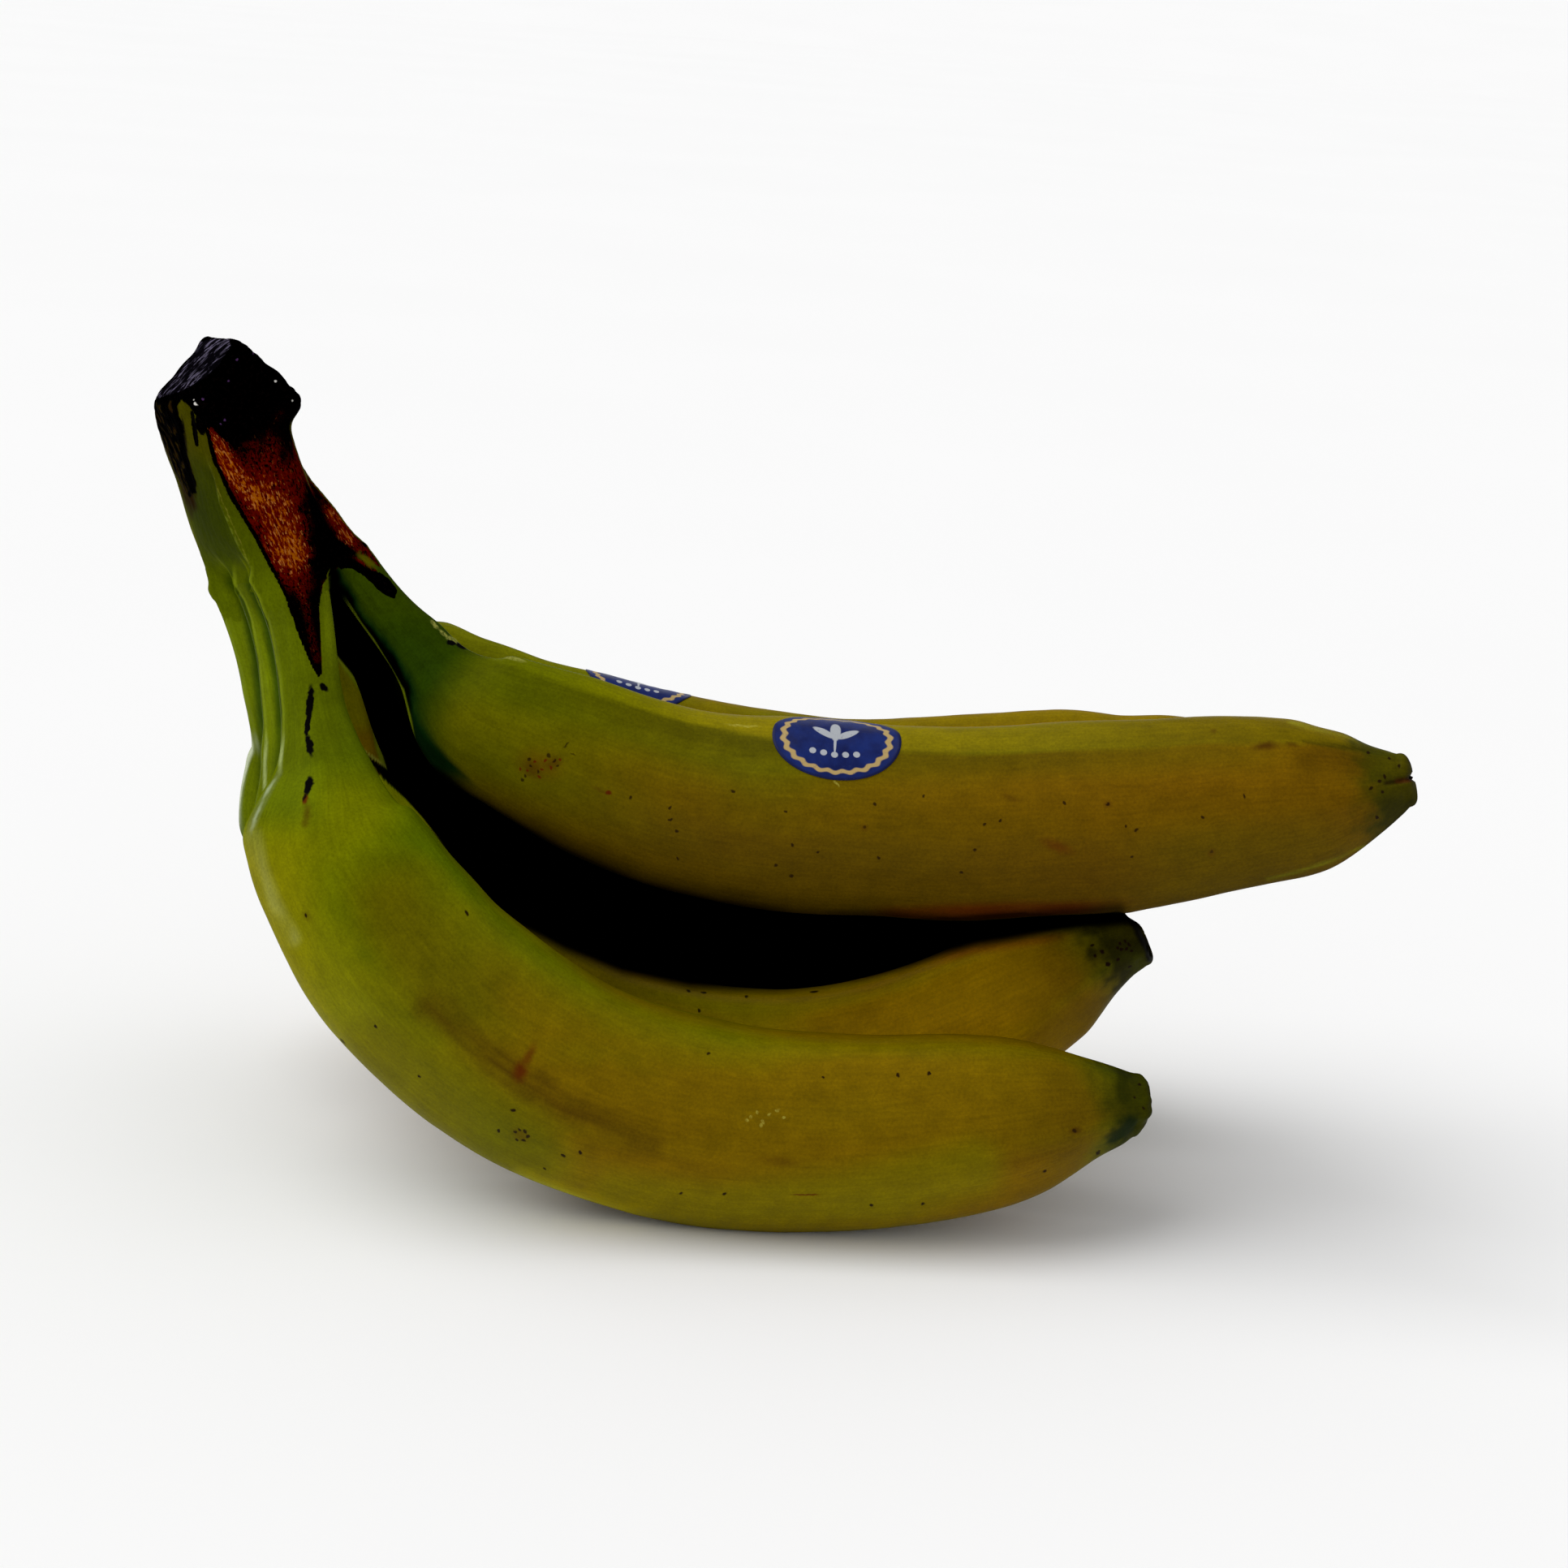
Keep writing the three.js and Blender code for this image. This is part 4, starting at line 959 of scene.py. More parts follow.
        # painted light and shade by which way the skin faces
        shade = shade * (1 + 0.20 * np.maximum(inner, smooth(N[:, 0], -0.25, -0.8) * smooth(v, 990, 1080) * F))
        shade = shade * (1 - 0.12 * band * smooth(N[:, 2], 0.75, 0.45))
        shade = shade * (1 + 0.14 * smooth(N[:, 2], -0.55, -0.9) * smooth(u, 680, 800) * smooth(u, 1240, 1120) * F)
        shade = shade * (1 + 0.08 * smooth(N[:, 2], 0.45, 0.75) * smooth(u, 860, 1000) * F)
        # painted light down the left side, paler and yellower, with a patchy painted highlight streak along the very
        # edge
        side = smooth(u, 480, 350) * smooth(v, 985, 1050) * smooth(v, 1300, 1190) * F
        col = mixc(col, srgb(118, 110, 0), 0.55 * side)
        shade = shade * (1 + 0.05 * side)
        d, _ = seg_dist(uv, [(312, 1030), (320, 1070), (336, 1112), (360, 1156)])
        wear_and_sheen = smooth(noise(V, (4, 4, 7), 87), -0.6, 0.5)
        col = mixc(col, srgb(156, 158, 90), 0.30 * smooth(d, 16, 1) * (0.3 + 0.7 * wear_and_sheen) * F)
        # painted light along the bottom edge
        d, _ = seg_dist(uv, [(640, 1452), (690, 1474), (750, 1492), (830, 1504)])
        shade = shade * (1 + 0.70 * smooth(d, 20, 4) * smooth(u, 836, 740) * F)
        # painted shade with a yellower colour low on the face
        d, _ = seg_dist(uv, [(470, 1300), (560, 1375), (640, 1412)])
        shade = shade * (1 - 0.20 * smooth(d, 74, 14) * F)
        col = mixc(col, srgb(106, 99, 0), 0.6 * smooth(d, 74, 14) * F)
        # a round patch of painted light, paler and yellower, on the shoulder
        d = np.hypot(u - 438, v - 1005)
        col = mixc(col, srgb(108, 109, 0), 0.65 * smooth(d, 85, 15) * F)
        shade = shade * (1 + 0.10 * smooth(d, 85, 15) * F)
        # painted shade with a yellower colour under the inner side of the bend
        d, _ = seg_dist(uv, [(484, 1120), (510, 1165), (556, 1215), (640, 1245)])
        col = mixc(col, srgb(96, 88, 0), 0.85 * smooth(d, 88, 10) * smooth(u, 680, 560) * F)
        shade = shade * (1 - 0.06 * smooth(d, 78, 12) * smooth(u, 680, 560) * F)
        tone = smooth(u, 540, 620) * smooth(v, 1450, 1400) * F
        col = col * (1 - tone[:, None] * np.array([0.11, 0.04, 0.0]))
        # painted light with a yellower colour along the bottom
        d, _ = seg_dist(uv, [(760, 1475), (880, 1490), (1040, 1475), (1200, 1440)])
        col = mixc(col, srgb(114, 104, 0), 0.8 * smooth(d, 56, 12) * F)
        shade = shade * (1 + 0.08 * smooth(d, 56, 12) * F)
        # painted shade before the tip
        shade = shade * (1 - 0.22 * smooth(e, 34, 10))
        # a long soft bruise under the upper ridge
        d, run = seg_dist(uv, [(534, 1242), (568, 1272), (604, 1304), (640, 1330), (690, 1356), (740, 1380), (806, 1408)])
        long = noise(np.stack([s / 7, 22 * np.cos(th), 22 * np.sin(th)], -1), 1.0, 67)
        w = smooth(d + 6 * fbm(V, 5.0, 69, 2), 34 - 8 * run, 5) * (0.60 - 0.12 * run) * (0.85 + 0.5 * bump(run, 0.5, 0.35)) * (1 + 0.45 * long)
        col = mixc(col, srgb(70, 48, 2), np.clip(w, 0, 0.8) * F)
        sh, _ = seg_dist(uv, [(342, 952), (331, 972), (317, 1000), (310, 1018)])
        gloss = gloss + 0.35 * smooth(sh, 7, 1.5) * F
        d, _ = seg_dist(uv, [(407, 722), (409, 787), (417, 826), (433, 893)])
        col = mixc(col, srgb(112, 124, 10), 0.5 * smooth(d, 12, 2) * smooth(v, 850, 800) * F)
    # the flower end: darker green, then a thin black dry rim
    n = fbm(V, 2.2, 61, 2)
    if key == "B":
        col = mixc(col, srgb(32, 31, 0), 0.92 * smooth(e + 2.2 * n, 13.5, 5.5))
        col = mixc(col, srgb(60, 62, 0), smooth(e + n, 4.5, 1.5) * smooth(v, 1170, 1182) * F)
        col = mixc(col, srgb(70, 66, 0), smooth(e + n, 6.5, 3.5) * smooth(np.abs(v - 1148), 12, 5) * 0.5 * F)
        d, _ = seg_dist(uv, [(1393, 1130), (1402, 1146), (1411, 1162), (1417, 1180)])
        rim = 0.95 * smooth(d + 2.0 * n, 8, 2.5) * F
    elif key == "A":
        col = mixc(col, srgb(52, 55, 0), 0.9 * smooth(e + 2 * n, 12.5, 3.0))
        d, _ = seg_dist(uv, [(1372, 1402), (1384, 1391), (1392, 1384)])
        col = mixc(col, srgb(16, 34, 2), 0.88 * smooth(d + 3 * n, 14, 4) * F)
        d, _ = seg_dist(uv, [(1383, 1328), (1384, 1350)])
        col = mixc(col, srgb(34, 40, 0), 0.5 * smooth(d + 3 * n, 14, 4) * F)
        rim = n * 0
    elif key == "C":
        col = mixc(col, srgb(60, 60, 0), 0.9 * smooth(e + 2 * n, 13.0, 4.5))
        col = mixc(col, srgb(40, 40, 0), 0.6 * smooth(e + 2 * n, 7, 3) * smooth(v, 975, 990))
        d, _ = seg_dist(uv, [(1708, 965), (1724, 963), (1742, 960)])
        col = mixc(col, srgb(34, 24, 0), 0.85 * smooth(d, 4.5, 1.0) * F)
        d, _ = seg_dist(uv, [(1737, 936), (1743, 944), (1742, 957)])
        rim = 0.95 * smooth(d + 1.0 * n, 5.0, 2.2) * F
        d, _ = seg_dist(uv, [(1722, 962), (1736, 961)])
        col = mixc(col, srgb(78, 34, 10), 0.5 * smooth(d, 5, 1.5) * F)
    else:
        col = mixc(col, srgb(30, 46, 0), 0.85 * smooth(e + 3 * n, 11.5, 2.5))
        rim = n * 0
    rim = np.maximum(rim, smooth(e + 0.5 * n, -0.7, -2.2) * (1 - 0.75 * F))
    col = mixc(col, BLACK, np.clip(rim, 0, 1))
    spots = smooth(noise(V, 1.3, 63), 0.60, 0.85) * smooth(e, 12, 2) * (1 - 0.8 * F)
    col = mixc(col, BLACK, 0.85 * spots)
    edge = G * (1 - smooth(face, 0.28, 0.66))
    gloss = gloss * (1 - edge * (smooth(N[:, 2], -0.1, 0.3) if key in "ABE" else 0.85))
    # away from the places the camera sees, the painted crease shade is only half as dark
    dark = dark * S + 0.5 * smooth(m["ao"], 0.34, 0.80) * (1 - S)
    lit = np.clip(1 - dark * (1 - AO_FLOOR), 0, 1)
    return col * np.clip(shade, 0, 3.5)[:, None], lit, gloss * lit


# ---- materials -----------------------------------------------------------------
class Tree:
    """Short names for building a node tree."""

    def __init__(self, name):
        self.mat = bpy.data.materials.new(name)
        self.mat.use_nodes = True
        self.nt = self.mat.node_tree
        self.nt.nodes.clear()

    def node(self, kind, **props):
        n = self.nt.nodes.new(kind)
        for k, v in props.items():
            setattr(n, k, v)
        return n

    def link(self, a, b):
        self.nt.links.new(a, b)

    def put(self, sock, val):
        if isinstance(val, bpy.types.NodeSocket):
            self.link(val, sock)
        else:
            sock.default_value = val

    def attr(self, name, out="Fac"):
        n = self.node("ShaderNodeAttribute", attribute_name=name, attribute_type="GEOMETRY")
        return n.outputs[out]

    def math(self, op, a, b=None, c=None, clamp=False):
        n = self.node("ShaderNodeMath", operation=op, use_clamp=clamp)
        for k, v in enumerate((a, b, c)):
            if v is not None:
                self.put(n.inputs[k], v)
        return n.outputs[0]

    def vec(self, op, a, b=None, scale=None):
        n = self.node("ShaderNodeVectorMath", operation=op)
        self.put(n.inputs[0], a)
        if b is not None:
            self.put(n.inputs[1], b)
        if scale is not None:
            self.put(n.inputs["Scale"], scale)
        return n.outputs["Value"] if op in ("LENGTH", "DOT_PRODUCT", "DISTANCE") else n.outputs["Vector"]

    def ramp(self, x, a, b, lo=0.0, hi=1.0, kind="SMOOTHSTEP"):
        n = self.node("ShaderNodeMapRange", interpolation_type=kind, clamp=True) if kind == "LINEAR" else \
            self.node("ShaderNodeMapRange", interpolation_type=kind)
        self.put(n.inputs["Value"], x)
        n.inputs["From Min"].default_value = a
        n.inputs["From Max"].default_value = b
        n.inputs["To Min"].default_value = lo
        n.inputs["To Max"].default_value = hi
        return n.outputs["Result"]

    def noise(self, vector, scale, detail=2.0, rough=0.5, lac=2.0):
        n = self.node("ShaderNodeTexNoise")
        self.link(vector, n.inputs["Vector"])
        n.inputs["Scale"].default_value = scale
        n.inputs["Detail"].default_value = detail
        n.inputs["Roughness"].default_value = rough
        n.inputs["Lacunarity"].default_value = lac
        return n.outputs["Fac"]

    def mix(self, fac, a, b, blend="MIX"):
        n = self.node("ShaderNodeMix", data_type="RGBA", blend_type=blend)
        self.put(n.inputs[0], fac)
        for k, v in ((6, a), (7, b)):
            if isinstance(v, bpy.types.NodeSocket):
                self.link(v, n.inputs[k])
            else:
                n.inputs[k].default_value = (*[float(x) for x in v][:3], 1.0)
        return n.outputs[2]

    def bump(self, height, strength, distance, normal=None):
        n = self.node("ShaderNodeBump")
        n.inputs["Strength"].default_value = strength
        n.inputs["Distance"].default_value = distance
        self.link(height, n.inputs["Height"])
        if normal is not None:
            self.link(normal, n.inputs["Normal"])
        return n.outputs["Normal"]

    def surface(self, color, rough, normal=None, spec=0.35, coat=0.0, coat_rough=0.3, sheen=0.0):
        b = self.node("ShaderNodeBsdfPrincipled")
        self.put(b.inputs["Base Color"], color)
        self.put(b.inputs["Roughness"], rough)
        self.put(b.inputs["Specular IOR Level"], spec)
        b.inputs["Coat Weight"].default_value = coat
        b.inputs["Coat Roughness"].default_value = coat_rough
        b.inputs["Sheen Weight"].default_value = sheen
        if normal is not None:
            self.link(normal, b.inputs["Normal"])
        o = self.node("ShaderNodeOutputMaterial")
        self.link(b.outputs[0], o.inputs[0])
        return self.mat


def place_mark(tree, u, v, length, width, angle):
    """Where a mark drawn at a place in the camera's picture lies on the skin: centre, axes and half sizes in metres."""
    o = Vector(CAM_POS)
    h = tree.ray_cast(o, Vector(ray(u, v)))
    if h[0] is None:
        return None
    p, n = np.array(h[0]), np.array(h[1])
    ca, sa = math.cos(math.radians(angle)), math.sin(math.radians(angle))
    step = 2.5

    def near(du, dv):
        d = ray(u + du, v + dv)
        t = (p - CAM_POS) @ n / (d @ n)
        return CAM_POS + d * t - p
    x = near(step * ca, step * sa)
    y = near(-step * sa, step * ca)
    lx, ly = np.linalg.norm(x) / step, np.linalg.norm(y) / step
    X = x / np.linalg.norm(x)
    Z = n / np.linalg.norm(n)
    X -= Z * (X @ Z)
    X /= np.linalg.norm(X)
    Y = np.cross(Z, X)
    lx, ly = min(lx, 0.5), min(ly, 0.5)
    return p * MM, (X, Y, Z), (length / 2 * lx * MM, width / 2 * ly * MM)


def add_marks(t, coord, tree, marks):
    """marks: (kind, u, v, length, width, angle, strength, softness) in picture pixels. Returns one factor per kind."""
    out = {}
    for kind, u, v, length, width, angle, strength, soft in marks:
        got = place_mark(tree, u, v, length, width, angle)
        if got is None:
            print("mark off the skin", kind, u, v)
            continue
        p, (X, Y, Z), (hx, hy) = got
        rot = Matrix((tuple(X), tuple(Y), tuple(Z))).transposed().to_euler("XYZ")
        mp = t.node("ShaderNodeMapping", vector_type="TEXTURE")
        t.link(coord, mp.inputs["Vector"])
        mp.inputs["Location"].default_value = tuple(p)
        mp.inputs["Rotation"].default_value = tuple(rot)
        mp.inputs["Scale"].default_value = (hx, hy, 0.006)
        d = t.vec("LENGTH", mp.outputs["Vector"])
        w = t.ramp(d, 1.0 + 0.35 * soft, max(0.05, 1.0 - soft), 0.0, strength)
        out[kind] = w if kind not in out else t.math("MAXIMUM", out[kind], w)
    return out


TONES = {"halo": (88, 58, 2), "brown": (66, 36, 2), "red": (84, 14, 2), "dark": (26, 10, 3), "black": (5, 4, 4),
         "pale": (168, 158, 60), "white": (225, 222, 215), "green": (76, 88, 2), "sheen": (190, 205, 165),
         "violet": (84, 52, 100), "olive": (84, 80, 0), "paper": (146, 146, 66)}


def skin_material(name, tree=None, marks=(), crown=False):
    t = Tree(name)
    tc = t.node("ShaderNodeTexCoord").outputs["Object"]
    grain = t.attr("grain", "Vector")
    base = t.attr("col", "Color")
    # lengthwise fibres, pores, and slow mottling
    streak = t.noise(grain, 1.0, 3.0, 0.6)
    pore = t.noise(tc, 1900.0, 2.0, 0.6)
    mottle = t.noise(tc, 210.0, 3.0, 0.55)
    v = t.ramp(streak, 0.25, 0.75, 0.88, 1.12, "LINEAR")
    v = t.math("MULTIPLY", v, t.ramp(mottle, 0.25, 0.75, 0.86, 1.14, "LINEAR"))
    v = t.math("MULTIPLY", v, t.ramp(pore, 0.2, 0.8, 0.80, 1.20, "LINEAR"))
    col = t.vec("SCALE", base, scale=v)
    # tiny brown flecks away from the drawn marks
    wild = t.attr("wild")
    vor = t.node("ShaderNodeTexVoronoi", feature="F1")
    t.link(tc, vor.inputs["Vector"])
    vor.inputs["Scale"].default_value = 95.0
    fleck = t.ramp(vor.outputs["Distance"], 0.055, 0.028)
    some = t.node("ShaderNodeSeparateColor")
    t.link(vor.outputs["Color"], some.inputs[0])
    fleck = t.math("MULTIPLY", fleck, t.ramp(some.outputs[0], 0.55, 0.6))
    fleck = t.math("MULTIPLY", fleck, wild)
    col = t.mix(t.math("MULTIPLY", fleck, 0.8), col, srgb(34, 16, 4))
    # torn and dried parts of the stalks and the crown
    spec = 0.10
    grit = t.noise(tc, 1500.0, 3.0, 0.7)
    if crown:
        scar, glow, char_and_shade, facet, brown = (t.attr(k) for k in ("scar", "glow", "char_and_shade", "facet", "brown"))
        fib = t.attr("fibre", "Vector")
        cut = t.attr("cutfib", "Vector")
        fm = t.node("ShaderNodeMapping", vector_type="POINT")
        t.link(fib, fm.inputs["Vector"])
        fm.inputs["Scale"].default_value = (0.62, 2.3, 2.3)
        hair = t.noise(fm.outputs["Vector"], 1.0, 2.0, 0.65)
        fm2 = t.node("ShaderNodeMapping", vector_type="POINT")
        t.link(fib, fm2.inputs["Vector"])
        fm2.inputs["Scale"].default_value = (0.75, 3.0, 3.0)
        fm2.inputs["Location"].default_value = (31.0, 7.0, 3.0)
        hair2 = t.noise(fm2.outputs["Vector"], 1.0, 1.0, 0.5)
        cm = t.node("ShaderNodeMapping", vector_type="POINT")
        t.link(cut, cm.inputs["Vector"])
        cm.inputs["Scale"].default_value = (0.22, 2.1, 0.5)
        blade = t.noise(cm.outputs["Vector"], 1.0, 3.0, 0.65)
        # brown, streaky skin
        w = t.math("MULTIPLY", brown, t.ramp(hair, 0.30, 0.62, 0.66, 1.15, "LINEAR"), clamp=True)
        col = t.mix(w, col, srgb(30, 15, 0))
        # scar: black pith, dark red grain, orange fibres, a few pale hairs
        x = t.math("ADD", t.math("MULTIPLY", grit, 0.5), t.math("MULTIPLY", hair, 0.5))
        red = t.ramp(t.math("ADD", x, t.math("MULTIPLY", glow, 0.10)), 0.43, 0.57)
        body = t.mix(red, srgb(4, 0, 0), srgb(78, 4, 0))
        y = t.math("ADD", t.math("MULTIPLY", hair, 0.8), t.math("MULTIPLY", grit, 0.2))
        rust = t.ramp(t.math("ADD", y, t.math("MULTIPLY", glow, 0.155)), 0.652, 0.722)
        body = t.mix(rust, body, srgb(110, 30, 0))
        amber = t.ramp(t.math("ADD", y, t.math("MULTIPLY", glow, 0.145)), 0.705, 0.775)
        body = t.mix(amber, body, srgb(148, 76, 0))
        bright = t.math("MULTIPLY", t.ramp(t.math("ADD", hair2, t.math("MULTIPLY", glow, 0.05)), 0.66, 0.72), t.ramp(glow, 0.1, 0.8, 0.10, 0.8))
        body = t.mix(bright, body, srgb(166, 100, 42))
        col = t.mix(t.ramp(scar, 0.25, 0.75), col, body)
        # charred bark, and painted black shade between the branches
        speckle = t.math("ADD", t.math("MULTIPLY", grit, 0.5), t.math("MULTIPLY", hair, 0.5))
        speckle = t.ramp(speckle, 0.3, 0.7, -0.5, 0.5, "LINEAR")
        w = t.math("ADD", char_and_shade, t.math("MULTIPLY", speckle, t.ramp(scar, 0.2, 0.8, 0.45, 1.1, "LINEAR")))
        col = t.mix(t.ramp(w, 0.40, 0.62), col, t.mix(t.ramp(grit, 0.5, 0.85), (0, 0, 0), srgb(12, 5, 5)))
        # knife-cut face with drawn-out fibres
        line = t.ramp(blade, 0.53, 0.60)
        line = t.math("MULTIPLY", line, t.ramp(mottle, 0.36, 0.60, 0.15, 1.0))
        cutc = t.mix(line, srgb(5, 4, 7), srgb(92, 86, 106))
        col = t.mix(t.ramp(facet, 0.3, 0.7), col, cutc)
    # listed marks
    if tree is not None and marks:
        wob = t.node("ShaderNodeTexNoise")
        t.link(tc, wob.inputs["Vector"])
        wob.inputs["Scale"].default_value = 900.0
        wob.inputs["Detail"].default_value = 2.0
        off = t.vec("SUBTRACT", wob.outputs["Color"], (0.5, 0.5, 0.5))
        off = t.vec("SCALE", off, scale=0.0009)
        coord = t.vec("ADD", tc, off)
        got = add_marks(t, coord, tree, marks)
        for kind in ("halo", "green", "sheen", "olive", "brown", "red", "paper", "pale", "dark", "black", "violet", "white"):
            if kind in got:
                f = got[kind]
                if kind in ("brown", "halo"):
                    f = t.math("MULTIPLY", f, t.ramp(streak, 0.3, 0.7, 0.72, 1.18, "LINEAR"), clamp=True)
                if kind in ("pale", "paper"):
                    f = t.math("MULTIPLY", f, t.ramp(grit, 0.4, 0.6, 0.3, 1.0))
                col = t.mix(f, col, srgb(*TONES[kind]))
    # deep creases see less light
    col = t.vec("SCALE", col, scale=t.attr("ao"))
    rough = t.math("ADD", t.attr("rough"), t.ramp(mottle, 0.3, 0.7, -0.05, 0.05, "LINEAR"))
    nrm = t.bump(streak, 0.25, 0.00012)
    nrm = t.bump(pore, 0.2, 0.00006, nrm)
    return t.surface(col, rough, nrm, spec=t.attr("gloss"))


# ---- the scar, the charred cut and their edges ----------------------------------
SCAR = [(236, 500), (243, 513), (256, 533), (265, 570), (288, 616), (315, 662), (334, 698), (352, 732), (370, 784),
        (386, 821), (393, 833), (397, 830), (395, 778), (393, 741), (398, 722), (405, 711), (416, 700), (424, 694),
        (455, 706), (487, 738), (484, 722), (462, 700), (440, 684), (452, 690), (470, 700), (456, 676), (425, 640),
        (409, 618), (395, 604), (376, 576), (367, 558), (361, 536), (362, 516), (367, 500), (300, 490)]
BETWEEN = [(380, 600), (396, 622), (402, 640), (411, 656), (408, 670), (430, 677), (437, 687), (426, 690), (417, 697),
           (412, 705), (404, 712), (398, 720), (393, 745), (394, 775), (389, 770), (386, 740), (388, 717), (390, 700),
           (392, 680), (390, 665), (386, 640)]
SLASH = [(413, 692), (428, 686), (440, 690), (455, 700), (470, 706), (481, 715), (488, 728), (486, 738), (477, 734),
         (465, 725), (450, 712), (432, 701), (420, 702)]
FACET = [(189, 494), (230, 447), (247, 421), (282, 414), (284, 427), (268, 452), (248, 469), (224, 481), (206, 487)]
CHAR_EDGE = [(180, 493), (212, 494), (230, 498), (239, 511), (249, 528), (268, 538), (288, 540), (306, 520), (330, 502),
             (352, 500), (375, 506)]


# the edge of the front fruit's root, running down from the cut, and the one left of it
ROOT_EDGE = [(238, 505), (246, 535), (254, 562), (266, 592), (272, 622), (285, 652), (297, 678), (311, 701), (308, 716),
             (320, 737), (331, 767), (337, 797), (344, 837), (348, 877), (348, 910), (344, 940)]
ROOT_EDGE2 = [(284, 680), (286, 697), (287, 719), (301, 740), (309, 762), (314, 790), (319, 815), (322, 850), (325, 880),
              (327, 915), (325, 940)]


def right_of(uv, line):
    """Pixels to the right of a line that runs downwards."""
    line = np.asarray(line, float)
    return uv[:, 0] - np.interp(uv[:, 1], line[:, 1], line[:, 0])


def root_green(P, uv):
    """Green skin on the front of the crown and the outer stalks, with painted shade in the hollow and the grooves."""
    u, v = uv[:, 0], uv[:, 1]
    n = fbm(P, (7, 7, 12), 77, 2)
    up = smooth(v, 760, 620)
    c = mixc(srgb(92, 104, 2), srgb(62, 69, 0), up)
    c = mixc(c, srgb(62, 60, 0), smooth(v, 640, 540))
    d = right_of(uv, ROOT_EDGE)
    d2 = right_of(uv, ROOT_EDGE2)
    # painted shade in the hollow left of the front root's edge
    hollow = smooth(d, 1.5, -5) * smooth(v, 716, 690) * smooth(v, 545, 585)
    c = mixc(c, srgb(32, 44, 0), hollow * (0.50 - 0.26 * smooth(d, -30, -52)) * smooth(v, 706, 684))
    c = c * (1 - 0.16 * smooth(v, 650, 690) * smooth(v, 790, 740))[:, None]
    # painted shade in the grooves left of the roots' lit edges
    g1 = smooth(d, -13, -2) * smooth(d, 0.6, -0.6) * smooth(v, 700, 722) * smooth(v, 930, 880)
    g2 = smooth(d2, -15, -2) * smooth(d2, 0.6, -0.6) * smooth(v, 684, 722) * smooth(v, 930, 880)
    c = mixc(c, srgb(38, 56, 0), 0.8 * np.maximum(g1, g2))
    c = c * (1 - 0.26 * smooth(d, -2, -12) * smooth(v, 700, 655) * smooth(v, 590, 625))[:, None]
    return c * (1 + 0.10 * n)[:, None]


# the inner front fruit's neck: where its lit green skin begins, and its lower rim
NECK_LIT = [(416, 700), (424, 720), (440, 745), (457, 770), (481, 800), (501, 830), (508, 860), (514, 890), (532, 918),
            (560, 948), (604, 988)]
NECK_END = [(640, 740), (592, 780), (574, 805), (555, 830), (538, 860), (525, 890), (524, 915), (530, 950)]
NECK_RIM = [(407, 736), (420, 748), (437, 768), (462, 799), (483, 830), (497, 858), (502, 890), (511, 925)]


def neck_look(P, uv):
    """Colour of the inner stalk's front side and how black its shaded inner edge is."""
    n = fbm(P, 4.0, 57, 3)
    v = uv[:, 1]
    d = right_of(uv, NECK_LIT) + 4.5 * n - 3
    col = mixc(srgb(40, 58, 0), srgb(47, 62, 0), smooth(v, 780, 740)) * (1 + 0.14 * fbm(P, 1.9, 59, 2))[:, None]
    col = mixc(col, srgb(34, 54, 2), smooth(d, 70, 25) * smooth(v, 770, 800) * 0.6)
    col = mixc(srgb(6, 34, 6), col, smooth(d, -7, 9))
    dark = smooth(d, 0, -9) * (0.38 + 0.62 * smooth(v, 900, 860)) * smooth(v, 960, 925)
    dark = np.maximum(dark, smooth(right_of(uv, NECK_RIM), -1, -3) * smooth(v, 930, 900) * smooth(v, 690, 704))
    return col, dark


def under_line(uv, line):
    """How far, in pixels, each place is below a line that runs left to right."""
    line = np.asarray(line, float)
    return uv[:, 1] - np.interp(uv[:, 0], line[:, 0], line[:, 1])


